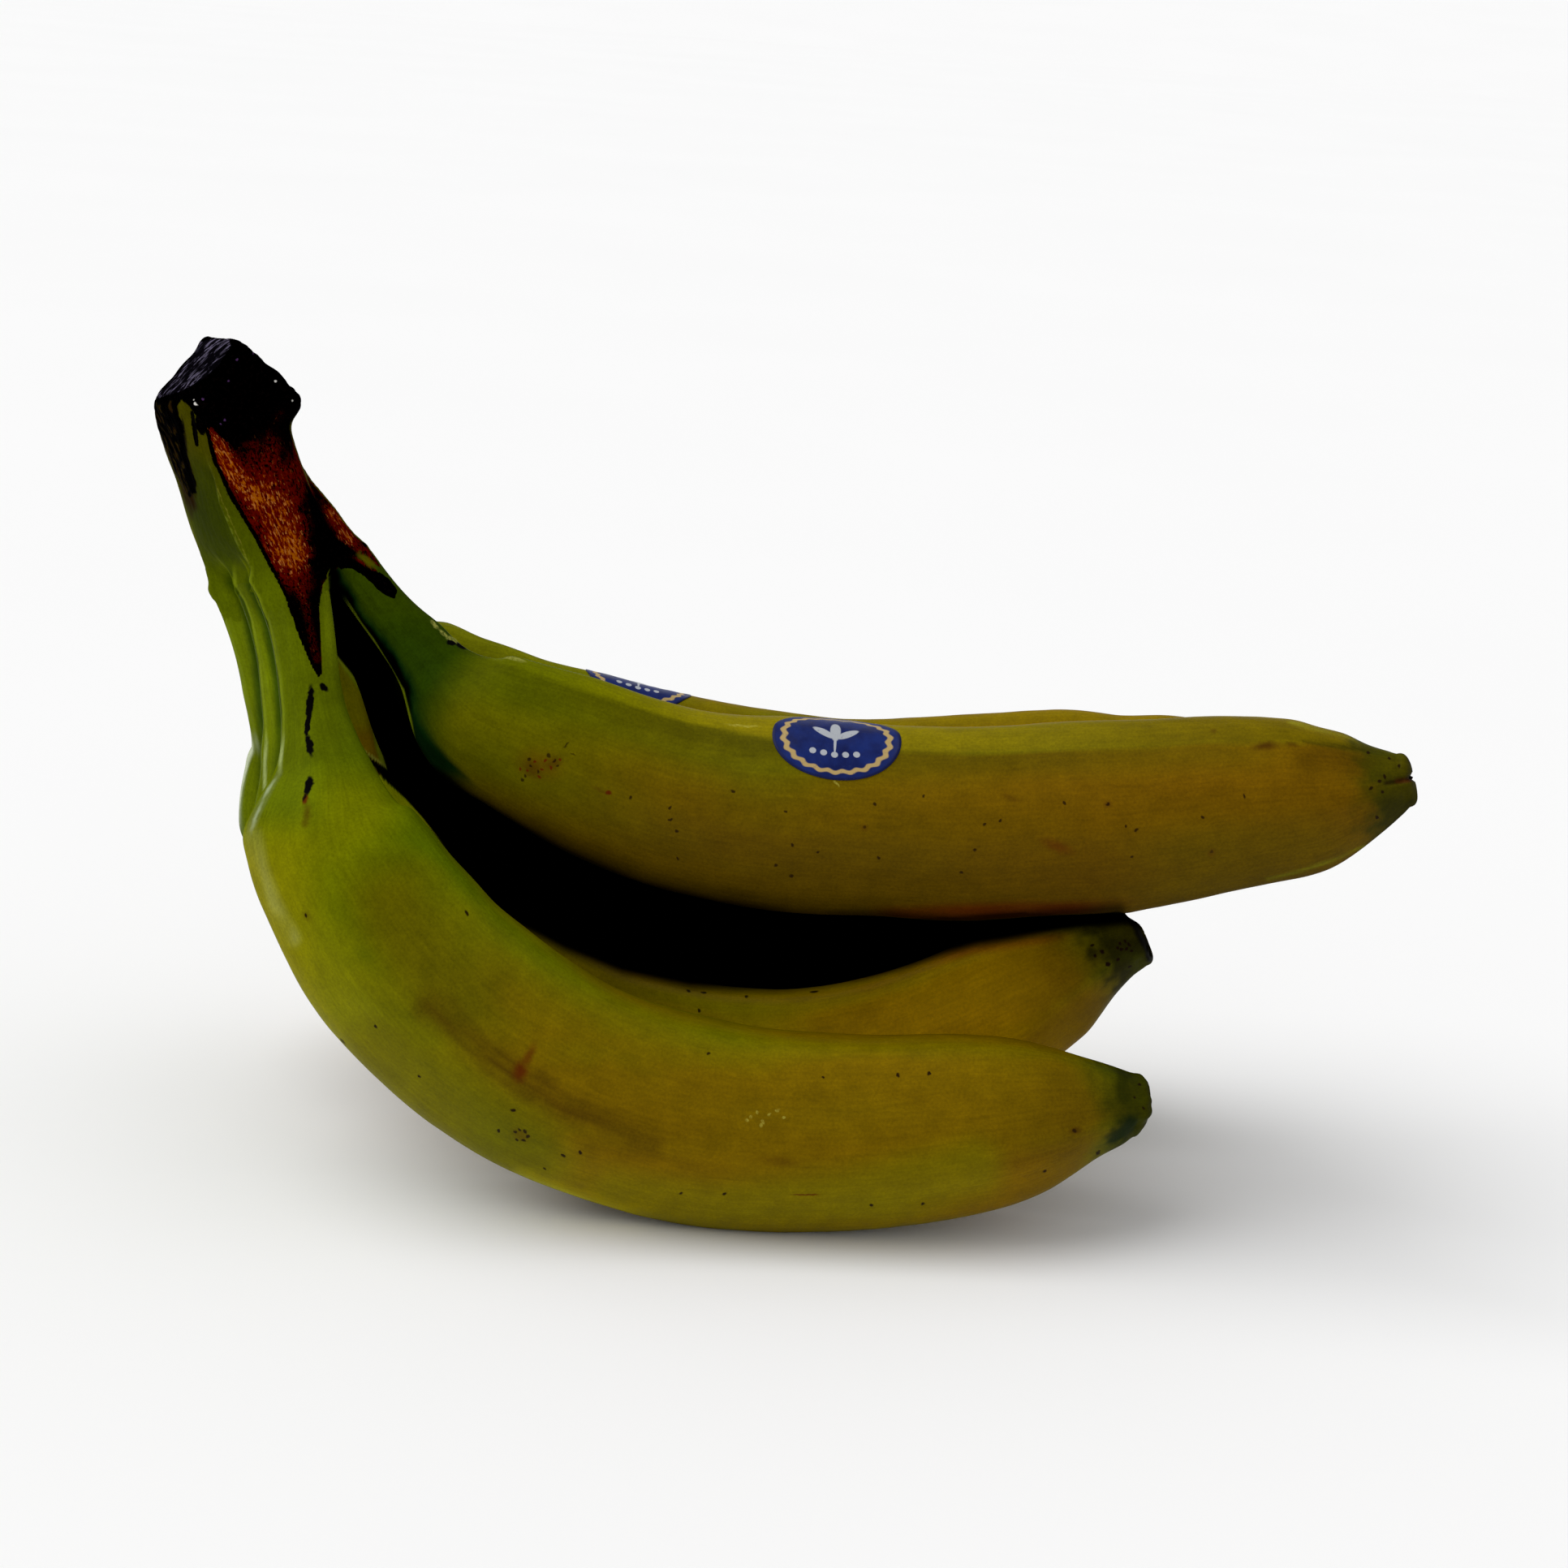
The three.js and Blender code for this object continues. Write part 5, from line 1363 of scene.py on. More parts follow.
def front_paint(P, N, uv, face, where):
    """The marks of the crown's front side: how much scar, glow, charring and painted black shade, and cut face there is
    at each place.
    """
    F = smooth(face, 0.0, 0.22)
    n = fbm(P, 4.0, 71, 3)
    big = fbm(P, 9.0, 73, 2)
    sd = inside(uv, SCAR)
    scar = smooth(sd, 1.2, -1.4) * F
    # brightest along a band that runs down from the upper left
    d1, _ = seg_dist(uv, [(257, 534), (283, 578), (316, 618)])
    d2, _ = seg_dist(uv, [(330, 612), (350, 650), (357, 682)])
    d3, _ = seg_dist(uv, [(360, 700), (377, 748), (390, 812)])
    d4, _ = seg_dist(uv, [(409, 628), (430, 664)])
    glow = 0.95 * smooth(d1, 18, 3) + 1.25 * smooth(d2, 38, 4) + 0.34 * smooth(d3, 9, 1) + 0.9 * smooth(d4, 13, 2)
    glow = glow + 0.16 * smooth(uv[:, 1], 530, 590) * smooth(uv[:, 1], 740, 690) * smooth(uv[:, 0], 392, 366)
    glow = glow * smooth(uv[:, 1], 845, 700) ** 0.5
    glow = glow * (1 + 0.45 * big) + 0.10 * n
    below = under_line(uv, CHAR_EDGE)
    column = smooth(d1, 19, 9)
    soft = smooth(below + 30 * n + 16 * big, 104, -10) * (1 - column) * smooth(uv[:, 0], 264, 282)
    char_and_shade = np.maximum(smooth(below + 14 * n, 12, -12), 0.80 * soft)
    # painted black shade between the two branches, and the black scar on the inner stalk
    char_and_shade = np.maximum(char_and_shade, smooth(inside(uv, BETWEEN) + 6 * n, 5, -4))
    char_and_shade = np.maximum(char_and_shade, 0.62 * smooth(inside(uv, BETWEEN) + 10 * n, 22, 0) * scar)
    char_and_shade = np.maximum(char_and_shade, smooth(inside(uv, SLASH) + 2.2 * n, 1.5, -1.5))
    d7, _ = seg_dist(uv, [(410, 664), (424, 674), (440, 684)])
    char_and_shade = np.maximum(char_and_shade, 0.8 * smooth(d7 + 4 * n, 8, 2))
    d7, _ = seg_dist(uv, [(412, 622), (432, 646), (452, 670)])
    char_and_shade = np.maximum(char_and_shade, 0.9 * smooth(d7 + 2 * n, 5, 1))
    # thin dark outline along the skin's torn edge
    d8, _ = seg_dist(uv, SCAR[1:11])
    char_and_shade = np.maximum(char_and_shade, 0.95 * smooth(d8, 2.6, 0.9) * smooth(uv[:, 1], 512, 530))
    char_and_shade = np.maximum(char_and_shade, (0.50 + 0.30 * smooth(d3, 2, 11)) * scar * smooth(uv[:, 1], 700, 750))
    # dark streaks up the left side
    d9, _ = seg_dist(uv, [(216, 508), (222, 532), (229, 571), (237, 608)])
    char_and_shade = np.maximum(char_and_shade, 0.85 * smooth(d9 + 4.0 * n, 6.0, 1.0))
    d10, _ = seg_dist(uv, [(236, 508), (240, 530), (243, 548)])
    char_and_shade = np.maximum(char_and_shade, 0.95 * smooth(d10 + 1.0 * n, 3.2, 1.0))
    bark = right_of(uv, [(224, 491), (219, 499), (220, 515), (226, 532), (232, 560), (239, 600), (243, 625), (236, 650), (230, 680)])
    side = smooth(bark + 3 * n, 2.5, -2.5) * smooth(uv[:, 1], 668, 612)
    long = noise(np.stack([P[:, 0] * 0.9, P[:, 1] * 0.9, P[:, 2] / 9], -1), 1.0, 75)
    streak = noise(np.stack([P[:, 0] * 2.2, P[:, 1] * 2.2, P[:, 2] / 4], -1), 1.0, 76)
    char_and_shade = np.maximum(char_and_shade, side * np.clip(0.54 + 0.14 * smooth(uv[:, 1], 590, 560) + 0.45 * long + 0.30 * streak, 0, 0.95) * smooth(uv[:, 1], 650, 570))
    facet = smooth(inside(uv, FACET), 1.5, -2.0) * F
    brown = side * smooth(uv[:, 1], 690, 620)
    return F, scar, np.clip(glow, 0, 1.6), np.clip(char_and_shade, 0, 1), facet, np.clip(brown, 0, 1)


def crown_look(P, N, uv, face):
    z = P[:, 2]
    n = fbm(P, 6.0, 81, 3)
    long = noise(np.stack([P[:, 0] * 0.8, P[:, 1] * 0.8, P[:, 2] / 12], -1), 1.0, 83)
    col = mixc(GREENISH, GREEN, np.clip(0.55 + 0.35 * n, 0, 1)) * 0.8
    F, scar, glow, char_and_shade, facet, brown = front_paint(P, N, uv, face, "crown")
    col = mixc(col, root_green(P, uv), F)
    d = right_of(uv, ROOT_EDGE)
    speck = smooth(np.abs(d - 1.0), 2.6, 0.9) * smooth(uv[:, 1], 560, 585) * F * smooth(noise(P, 1.1, 79), -0.05, 0.35)
    col = mixc(col, srgb(130, 140, 44), 0.28 * speck)
    # painted highlights along the lit edges of the roots
    for line in (ROOT_EDGE, ROOT_EDGE2):
        rim = smooth(np.abs(right_of(uv, line) - 1.2), 3.2, 1.0) * smooth(uv[:, 1], 694, 712) * F
        col = mixc(col, srgb(106, 118, 16), 0.8 * rim)
    # sides and back: green skin that browns towards the cut
    back_char = smooth(z + 3.5 * n + 3.5 * long, 143, 156)
    back_brown = smooth(z + 4 * n + 5 * long, 124, 148)
    char_and_shade = char_and_shade * F + np.maximum(back_char, 0) * (1 - F)
    brown = brown * F + 0.85 * back_brown * (1 - F)
    # the knife cuts on top show fibre ends
    top = np.zeros(len(P))
    for x, y, zz, o in CUTS:
        d = np.abs(P @ np.array([x, y, zz]) - o)
        top = np.maximum(top, smooth(d, 0.9, 0.2) * smooth(N @ np.array([x, y, zz]), 0.8, 0.95))
    char_and_shade = np.maximum(char_and_shade, top)
    facet = np.maximum(facet, 0.52 * top * (1 - F))
    return col, scar, glow, np.clip(char_and_shade, 0, 1), facet, np.clip(brown, 0, 1), top


def crown_relief(P, N, uv, face, scar, char_and_shade, facet, top):
    """Skin height over the crown's smooth form, in mm."""
    long = noise(np.stack([P[:, 0] * 0.9, P[:, 1] * 0.9, P[:, 2] / 7], -1), 1.0, 91)
    d = 0.05 * long + 0.05 * fbm(P, 6, 93, 2)
    step, _ = seg_dist(uv, SCAR[1:11])
    F = smooth(face, 0.0, 0.22)
    e = right_of(uv, ROOT_EDGE)
    low = smooth(uv[:, 1], 560, 600) * F
    d += (0.30 * np.exp(-((e - 1.5) / 3.0) ** 2) - 0.35 * smooth(e, 0.5, -5) * smooth(e, -40, -12)) * low
    d -= 0.30 * scar * (1 - top)
    d += 0.22 * np.exp(-((step - 3.0) / 3.2) ** 2) * (1 - scar) * F * smooth(uv[:, 1], 520, 560)
    ax = fibre_axes(P)
    fib = noise(np.stack([ax[:, 0] / 5.0, ax[:, 1] / 0.8, ax[:, 2] / 0.8], -1), 1.0, 95)
    d += 0.13 * scar * fib
    d += char_and_shade * (1 - top) * 0.22 * fbm(P, 2.6, 97, 2)
    fx = facet_axes(P)
    ft = noise(np.stack([fx[:, 0] / 9.0, fx[:, 1] / 0.9, fx[:, 2] / 3], -1), 1.0, 99)
    d += 0.20 * top * ft
    return d


def _axis(u0, v0, u1, v1):
    a = CAM_RIGHT * (u1 - u0) - CAM_UP * (v1 - v0)
    a /= np.linalg.norm(a)
    b = np.cross(CAM_FWD, a)
    return a, b / np.linalg.norm(b)


FIB_A, FIB_B = _axis(265, 560, 352, 740)
CUT_A, CUT_B = _axis(200, 484, 278, 424)


def fibre_axes(P):
    return np.stack([P @ FIB_A, P @ FIB_B, P @ CAM_FWD], -1)


def facet_axes(P):
    return np.stack([P @ CUT_A, P @ CUT_B, P @ CAM_FWD], -1)


# ---- build the fruits ---------------------------------------------------------------
fruits = [shape_fruit(k) for k in "ABECD"]
for m in fruits:
    allf = m["quads"]
    m["N"] = vertex_normals(m["V"], allf)
    d = fruit_relief(m)
    if m["key"] == "C":
        d = d - crease(m["V"]) * smooth(m["s"], m["L"] - 14, m["L"] - 6)
    m["V"] = floor_press(push(m["V"] + m["N"] * d[:, None]))
    m["N"] = vertex_normals(m["V"], allf)
    low_mesh(m)

crV, crQ, roots = build_crown(fruits)
crV = push(crV)
crN = vertex_normals(crV, crQ)

crown = {}


def view_of(P, N):
    to = CAM_POS - P
    to /= np.linalg.norm(to, axis=1, keepdims=True)
    return project(P), np.sum(N * to, 1)


uv, face = view_of(crV, crN)
col, scar, glow, char_and_shade, facet, brown, top = crown_look(crV, crN, uv, face)
crV = crV + crN * crown_relief(crV, crN, uv, face, scar, char_and_shade, facet, top)[:, None]
crN = vertex_normals(crV, crQ)
step = max(1, len(crQ) // 3000)
crown.update(lowV=crV, lowQ=crQ)

# coarse occlusion for the fruits and, from scattered samples, for the crown
sample = np.random.default_rng(9).choice(len(crV), 1400, replace=False)
crown_low = dict(lowV=crV[sample], lowN=crN[sample])
occlusion(fruits + [crown_low], fruits + [crown])

def sight(m):
    """Which places on a fruit can be seen from the camera past the other fruits: 1 or 0, with soft edges."""
    verts, polys, base = [], [], 0
    for o in fruits:
        if o is not m:
            verts.append(o["lowV"])
            polys.append(o["lowQ"] + base)
            base += len(o["lowV"])
    tree = BVHTree.FromPolygons([tuple(v) for v in np.vstack(verts)],
                                [tuple(int(x) for x in p) for p in np.vstack(polys)])
    to = CAM_POS - m["V"]
    to /= np.linalg.norm(to, axis=1, keepdims=True)
    start = m["V"] + m["N"] * 0.3
    out = np.zeros(len(to))
    for i in np.nonzero(m["face"] > -0.02)[0]:
        out[i] = tree.ray_cast(Vector(start[i]), Vector(to[i]))[0] is None
    g = out[:m["rows"] * AROUND].reshape(m["rows"], AROUND)
    wide = None
    for k in range(16):
        near = [g, np.roll(g, 1, 1), np.roll(g, -1, 1), np.vstack([g[:1], g[:-1]]), np.vstack([g[1:], g[-1:]])]
        g = np.max(near, 0) if k < 4 else np.mean(near, 0)
        if k == 2:
            tight = g
    g = smooth(g, 0.08, 0.35) if m["key"] == "E" else np.maximum(g, tight)
    f = m["face"][:m["rows"] * AROUND].reshape(m["rows"], AROUND)
    for k in range(10):
        f = np.mean([f, np.roll(f, 1, 1), np.roll(f, -1, 1), np.vstack([f[:1], f[:-1]]), np.vstack([f[1:], f[-1:]])], 0)
    g = g * (smooth(f, -0.22, -0.05) if m["key"] == "E" else smooth(m["face"][:g.size].reshape(g.shape), -0.14, -0.01))
    return np.concatenate([g.ravel(), [g[0].mean(), g[-1].mean()]])


parts = {}
for m in fruits:
    m["uv"], m["face"] = view_of(m["V"], m["N"])
    m["seen"] = sight(m)
    m["ao"] = spread_ao(m)
    c, lit, gloss = fruit_colour(m)
    V, s, th, key = m["V"], m["s"], m["th"], m["key"]
    grain = np.stack([s / 9.0, np.cos(th) * 26, np.sin(th) * 26], -1)
    F, sc, gl, ch, fc, br = front_paint(V, m["N"], m["uv"], m["face"], key)
    if key not in "AC":
        sc, gl, ch, br = sc * 0, gl * 0, ch * 0, br * 0
    near = smooth(s, 64, 40) * F
    if key == "A":
        near = near * smooth(m["uv"][:, 0], 418, 404)
    if key == "C":
        near = near * smooth(m["uv"][:, 0], 404, 408)
        sc = sc * smooth(m["uv"][:, 1], 712, 700)
        near = np.maximum(near, smooth(s, 70, 60) * F * smooth(m["uv"][:, 0], 404, 408) * smooth(m["uv"][:, 1], 760, 745))
    rough = 0.46 + 0.10 * smooth(s, m["L"] - 8, m["L"])
    wild = smooth(m["face"], 0.05, -0.15) * smooth(s, 40, 60)
    if key in "BED":
        wild = np.maximum(wild, 0.6 * smooth(s, 40, 60))
    m["col"], m["lit"] = np.clip(c, 0, 1), lit
    m["attrs"] = dict(col=m["col"], grain=grain, ao=lit, gloss=gloss * (1 - sc * near) * (1 - ch * near), rough=rough, wild=wild,
                      scar=sc * near, glow=gl * near, char_and_shade=ch * near, facet=fc * 0, brown=br * near,
                      fibre=fibre_axes(V), cutfib=facet_axes(V))
    name = KEYS[key]
    ob = make_object("skin_" + name, V, m["quads"], m["tris"], m["attrs"])
    m["ob"] = ob
    parts[key] = ob

# crown occlusion from its samples
def near_mean(src, val, dst, k=5, gap=None):
    from mathutils.kdtree import KDTree
    t = KDTree(len(src))
    for i, p in enumerate(src):
        t.insert(p, i)
    t.balance()
    out = np.empty((len(dst),) + val.shape[1:])
    for i, p in enumerate(dst):
        got = t.find_n(p, k)
        w = [1 / (0.4 + g[2]) for g in got]
        out[i] = sum(val[g[1]] * a for g, a in zip(got, w)) / sum(w)
        if gap is not None:
            gap[i] = got[0][2]
    return out


# painted shade on the crown from the occlusion samples, stronger on the side the camera sees
crAO = near_mean(crown_low["lowV"], crown_low["lowAO"], crV)
crAO = 1 - (0.55 + 0.35 * smooth(face, 0.0, 0.2)) * smooth(crAO, 0.42, 0.85)
# round the sides and the back the crown takes on the colour of the stalks that leave it
srcV, srcC = [], []
for m in fruits:
    pick = np.nonzero((m["s"] > 3) & (m["s"] < 13))[0][::7]
    srcV.append(m["V"][pick])
    srcC.append(np.concatenate([m["col"][pick], m["lit"][pick, None]], 1))
gap = np.zeros(len(crV))
got = near_mean(np.vstack(srcV), np.vstack(srcC), crV, 6, gap)
w = smooth(gap, 17, 2) * (1 - smooth(face, -0.02, 0.12))
col = mixc(col, got[:, :3], w)
crAO = crAO * (1 - w) + got[:, 3] * w
crAO = np.maximum(crAO, smooth(face, 0.0, 0.2) * smooth(uv[:, 1], 735, 715))
# the inner stalk's green and the painted shade along its inner edge carry onto the crown
neck, ndark = neck_look(crV, uv)
inner = smooth(uv[:, 0], 404, 409) * smooth(uv[:, 1], 684, 700) * smooth(face, 0.0, 0.1)
col = mixc(col, neck, inner)
crAO = crAO * (1 - inner) + inner * (1 - ndark)
grain = np.stack([crV[:, 2] / 9.0, crV[:, 0] * 1.3, crV[:, 1] * 1.3], -1)
crown_attrs = dict(col=np.clip(col, 0, 1), grain=grain, ao=crAO, gloss=0.001 * crAO * (1 - scar) * (1 - char_and_shade), rough=0.5 + 0.12 * char_and_shade, wild=scar * 0, scar=scar, glow=glow,
                   char_and_shade=char_and_shade, facet=facet, brown=brown, fibre=fibre_axes(crV), cutfib=facet_axes(crV))
crown_ob = make_object("cut_crown", crV, crQ, (), crown_attrs)


def tree_of(ob):
    me = ob.data
    co = np.zeros(len(me.vertices) * 3)
    me.vertices.foreach_get("co", co)
    co = co.reshape(-1, 3) / MM
    polys = [tuple(p.vertices) for p in me.polygons]
    return BVHTree.FromPolygons([tuple(c) for c in co], polys)


TREES = {k: tree_of(ob) for k, ob in parts.items() if k in "ABCD"}
TREES["crown"] = tree_of(crown_ob)

# ---- labels --------------------------------------------------------------------------
LABELS = {"sticker_front": ("C", 0.498, 63.2, 13.0, 9.5), "sticker_back": ("D", 0.342, 86.0, 11.9, 9.0)}


def make_label(name):
    key, at, angle, along, around = LABELS[name]
    m = next(x for x in fruits if x["key"] == key)
    fr = m["fr"]
    tree = TREES[key]
    rings, cols = 26, 112
    k = np.linspace(0, 1, rings + 1)[1:]
    th = np.arange(cols) * 2 * np.pi / cols
    K, T = np.meshgrid(k, th, indexing="ij")
    a = np.concatenate([[0], (K * np.cos(T)).ravel()])
    b = np.concatenate([[0], (K * np.sin(T)).ravel()])
    s0 = np.interp(at, np.linspace(0, 1, 800), fr.S)
    f = fr.f_of(s0 + along * a)
    C, r, q, Tt, B, N = fr.frame(f)
    ang = np.radians(angle) + around * b / r
    sb, sn = fr.unit(ang)
    P = C + (r * q * sb)[:, None] * B + (r * sn)[:, None] * N
    out = P - C
    out -= Tt * np.sum(out * Tt, 1, keepdims=True)
    out /= np.linalg.norm(out, axis=1, keepdims=True)
    lift = 0.13 + 0.05 * fbm(np.stack([a * 12, b * 9, a * 0], -1), 3.5, 131, 2) + 0.05 * smooth(np.hypot(a, b), 0.86, 1.0)
    top = np.empty_like(P)
    nn = np.empty_like(P)
    for i in range(len(P)):
        h = tree.ray_cast(Vector(P[i] + out[i] * 3), Vector(-out[i]), 8)
        p, n = (np.array(h[0]), np.array(h[1])) if h[0] is not None else (P[i], out[i])
        if n @ out[i] < 0:
            n = -n
        top[i] = p + n * lift[i]
        nn[i] = out[i]
    low = top - nn * 0.09
    n = len(top)
    idx = 1 + np.arange(rings * cols).reshape(rings, cols)
    nxt = np.roll(idx, -1, 1)
    quads = np.stack([idx[:-1], idx[1:], nxt[1:], nxt[:-1]], -1).reshape(-1, 4)
    tris = np.stack([np.zeros(cols, int), idx[0], nxt[0]], -1)
    side = np.stack([idx[-1], idx[-1] + n, nxt[-1] + n, nxt[-1]], -1)
    allq = np.vstack([quads, quads[:, ::-1] + n, side])
    allt = np.vstack([tris, tris[:, ::-1] + n])
    V = np.vstack([top, low])
    # outward winding
    q0 = quads[len(quads) // 2]
    nrm = np.cross(V[q0[2]] - V[q0[0]], V[q0[3]] - V[q0[1]])
    if nrm @ nn[q0[0]] < 0:
        allq, allt = allq[:, ::-1], allt[:, ::-1]
    lab = np.stack([np.tile(a, 2), np.tile(b, 2), np.concatenate([np.ones(n), np.zeros(n)])], -1)
    return make_object("label_" + name, V, allq, allt, {"lab": lab})


def label_material(name):
    t = Tree(name)
    lab = t.attr("lab", "Vector")
    tc = t.node("ShaderNodeTexCoord").outputs["Object"]
    sep = t.node("ShaderNodeSeparateXYZ")
    t.link(lab, sep.inputs[0])
    x, y = sep.outputs["X"], sep.outputs["Y"]
    r = t.math("SQRT", t.math("ADD", t.math("MULTIPLY", x, x), t.math("MULTIPLY", y, y)))
    ang = t.math("ARCTAN2", y, x)
    fibre = t.noise(tc, 1500.0, 2.0, 0.6)
    cloud = t.noise(tc, 260.0, 3.0, 0.55)
    blue = t.mix(t.ramp(cloud, 0.35, 0.65, 0, 1, "LINEAR"), srgb(0, 16, 74), srgb(6, 32, 100))
    # scalloped cream ring
    wave = t.math("MULTIPLY", t.math("COSINE", t.math("MULTIPLY", ang, 22.0)), 0.022)
    rr = t.math("ADD", r, wave)
    ring = t.math("MULTIPLY", t.ramp(rr, 0.755, 0.785), t.ramp(rr, 0.875, 0.845))
    col = t.mix(ring, blue, srgb(176, 150, 96))
    edge = t.ramp(r, 0.93, 0.975)
    col = t.mix(t.math("MULTIPLY", edge, 0.8), col, srgb(6, 14, 62))
    # a sprig of three leaves over a row of berries
    shapes = [(-0.02, 0.16, 0.27, 0.085, 90), (-0.20, 0.10, 0.22, 0.075, 140), (0.17, 0.10, 0.22, 0.075, 40),
              (-0.02, -0.12, 0.30, 0.022, 90)]
    for k in range(5):
        shapes.append((-0.36 + 0.17 * k, -0.40 + 0.03 * math.cos(k * 1.5), 0.055, 0.07, 0))
    motif = None
    for cx, cy, hx, hy, deg in shapes:
        mp = t.node("ShaderNodeMapping", vector_type="TEXTURE")
        t.link(lab, mp.inputs["Vector"])
        mp.inputs["Location"].default_value = (cx, cy, 0)
        mp.inputs["Rotation"].default_value = (0, 0, math.radians(deg))
        mp.inputs["Scale"].default_value = (hx, hy, 50.0)
        w = t.ramp(t.vec("LENGTH", mp.outputs["Vector"]), 1.06, 0.86)
        motif = w if motif is None else t.math("MAXIMUM", motif, w)
    col = t.mix(motif, col, srgb(168, 172, 178))
    wear_and_sheen = t.ramp(fibre, 0.62, 0.72, 0, 0.35, "LINEAR")
    col = t.mix(wear_and_sheen, col, srgb(30, 44, 92))
    nrm = t.bump(cloud, 0.25, 0.00025)
    return t.surface(col, t.ramp(cloud, 0.3, 0.7, 0.36, 0.48, "LINEAR"), nrm, spec=0.14)


label_obs = {n: make_label(n) for n in LABELS}

# ---- marks on the skin, placed by where they show in the picture --------------------
# kind, u, v, length, width, angle, strength, softness
def dots(kind, size, pts, strength=0.95, soft=0.5):
    return [(kind, u, v, size + (i * 7 % 5) * 0.45, size - (i * 3 % 4) * 0.35, i * 37 % 180, strength, soft)
            for i, (u, v) in enumerate(pts)]


def along(kind, pts, width, strength, soft, step=1.0):
    """A line of overlapping strokes through the points."""
    out = []
    for (a, b), (c, d) in zip(pts[:-1], pts[1:]):
        ln = math.hypot(c - a, d - b)
        out.append((kind, (a + c) / 2, (b + d) / 2, ln * 1.25 * step, width, math.degrees(math.atan2(d - b, c - a)), strength,
                    soft))
    return out


MARKS = {"A": [], "C": [], "B": [], "D": []}
MARKS["A"] += dots("dark", 4.8, [(463, 1265), (516, 1326), (575, 1125), (614, 1393), (632, 1368), (671, 1440), (694, 1424),
                                 (715, 1420), (839, 1470), (893, 1471), (1015, 1328), (1074, 1485), (1106, 1325),
                                 (1137, 1483), (1145, 1323), (1287, 1443), (1352, 1421), (377, 1128)])
MARKS["A"] += dots("dark", 4.4, [(1404, 1336), (1409, 1365), (1354, 1420), (1398, 1352), (873, 1298)], 0.9)
# scars down the stalk
MARKS["A"] += [("black", 382, 866, 46, 10, 94, 1.0, 0.25), ("black", 379, 893, 34, 7, 98, 1.0, 0.3),
               ("black", 381, 918, 30, 10, 78, 1.0, 0.3), ("black", 399, 847, 15, 8, 42, 1.0, 0.3),
               ("black", 380, 968, 26, 10, 101, 1.0, 0.3), ("red", 376, 984, 16, 8, 100, 0.9, 0.6),
               ("black", 375, 982, 12, 5, 105, 0.9, 0.5), ("brown", 378, 1002, 34, 12, 92, 0.6, 0.95),
               ("brown", 376, 1013, 16, 11, 92, 0.5, 0.8), ("green", 377, 938, 16, 8, 90, 0.6, 0.6)]
# bruise along the upper ridge, with a cross-mark
MARKS["A"] += [("red", 651, 1302, 42, 15, 118, 0.62, 0.85), ("red", 641, 1320, 32, 24, 105, 0.80, 0.9),
               ("brown", 962, 1431, 66, 16, 6, 0.42, 0.95), ("red", 993, 1472, 38, 2.6, 1, 0.75, 0.5),
               ("brown", 1325, 1393, 18, 11, -10, 0.6, 0.8), ("dark", 1324, 1393, 6, 5, 0, 0.8, 0.5)]
MARKS["A"] += [("halo", 642, 1399, 22, 18, 0, 0.5, 0.8)] + dots("dark", 4.6, [(635, 1395), (640, 1392), (647, 1394),
                                                                              (650, 1400), (645, 1405), (637, 1404)], 0.9)
MARKS["A"] += dots("pale", 5.0, [(925, 1376), (933, 1370), (940, 1382), (948, 1373), (958, 1368), (966, 1377), (920, 1380),
                                 (938, 1386)], 0.6)
MARKS["A"] += [("dark", 422, 1283, 9, 3.0, 60, 0.8, 0.5), ("green", 449, 1175, 30, 20, 30, 0.2, 0.98), ("brown", 378, 1128, 16, 12, 30, 0.4, 0.9),
               ("sheen", 316, 1004, 46, 5, 112, 0.34, 0.95), ("sheen", 331, 972, 34, 4.5, 122, 0.40, 0.95)]
MARKS["B"] += dots("dark", 4.6, [(848, 1221), (867, 1223), (862, 1245), (920, 1228), (1003, 1222)])
MARKS["B"] += dots("dark", 7.0, [(1365, 1188), (1358, 1173)], 1.0, 0.35)
MARKS["B"] += dots("dark", 4.8, [(1380, 1163), (1386, 1160), (1391, 1164), (1388, 1169), (1382, 1170), (1394, 1171), (1377, 1168),
                                 (1349, 1177), (1378, 1182), (1346, 1165), (1392, 1191)], 1.0)
MARKS["C"] += dots("dark", 4.6, [(903, 975), (968, 1000), (977, 1041), (956, 1066), (975, 1079), (1008, 1049), (1083, 1057),
                                 (1078, 991), (1213, 1016), (1232, 1011), (1201, 1047), (1184, 1075), (1312, 990),
                                 (1387, 1018), (1401, 1023), (1395, 1056), (1482, 1007), (1533, 981), (826, 995),
                                 (826, 1010), (834, 1024), (835, 1058), (777, 982), (1138, 981)], 0.85)
MARKS["C"] += [("halo", 664, 943, 66, 42, 12, 0.60, 0.95), ("brown", 655, 948, 28, 20, 40, 0.60, 0.95),
               ("brown", 682, 940, 24, 16, -20, 0.55, 0.95)]
MARKS["C"] += dots("dark", 4.4, [(652, 936), (654, 944), (663, 951), (647, 956), (683, 938), (687, 943), (643, 961), (676, 931)], 0.8)
MARKS["C"] += dots("red", 4.0, [(659, 939), (668, 948), (679, 946), (650, 950), (672, 937), (690, 936), (664, 957), (641, 947)], 0.8)
MARKS["C"] += [("dark", 698, 918, 12, 2.4, -40, 0.7, 0.5), ("dark", 706, 929, 9, 2.2, 25, 0.6, 0.5)]
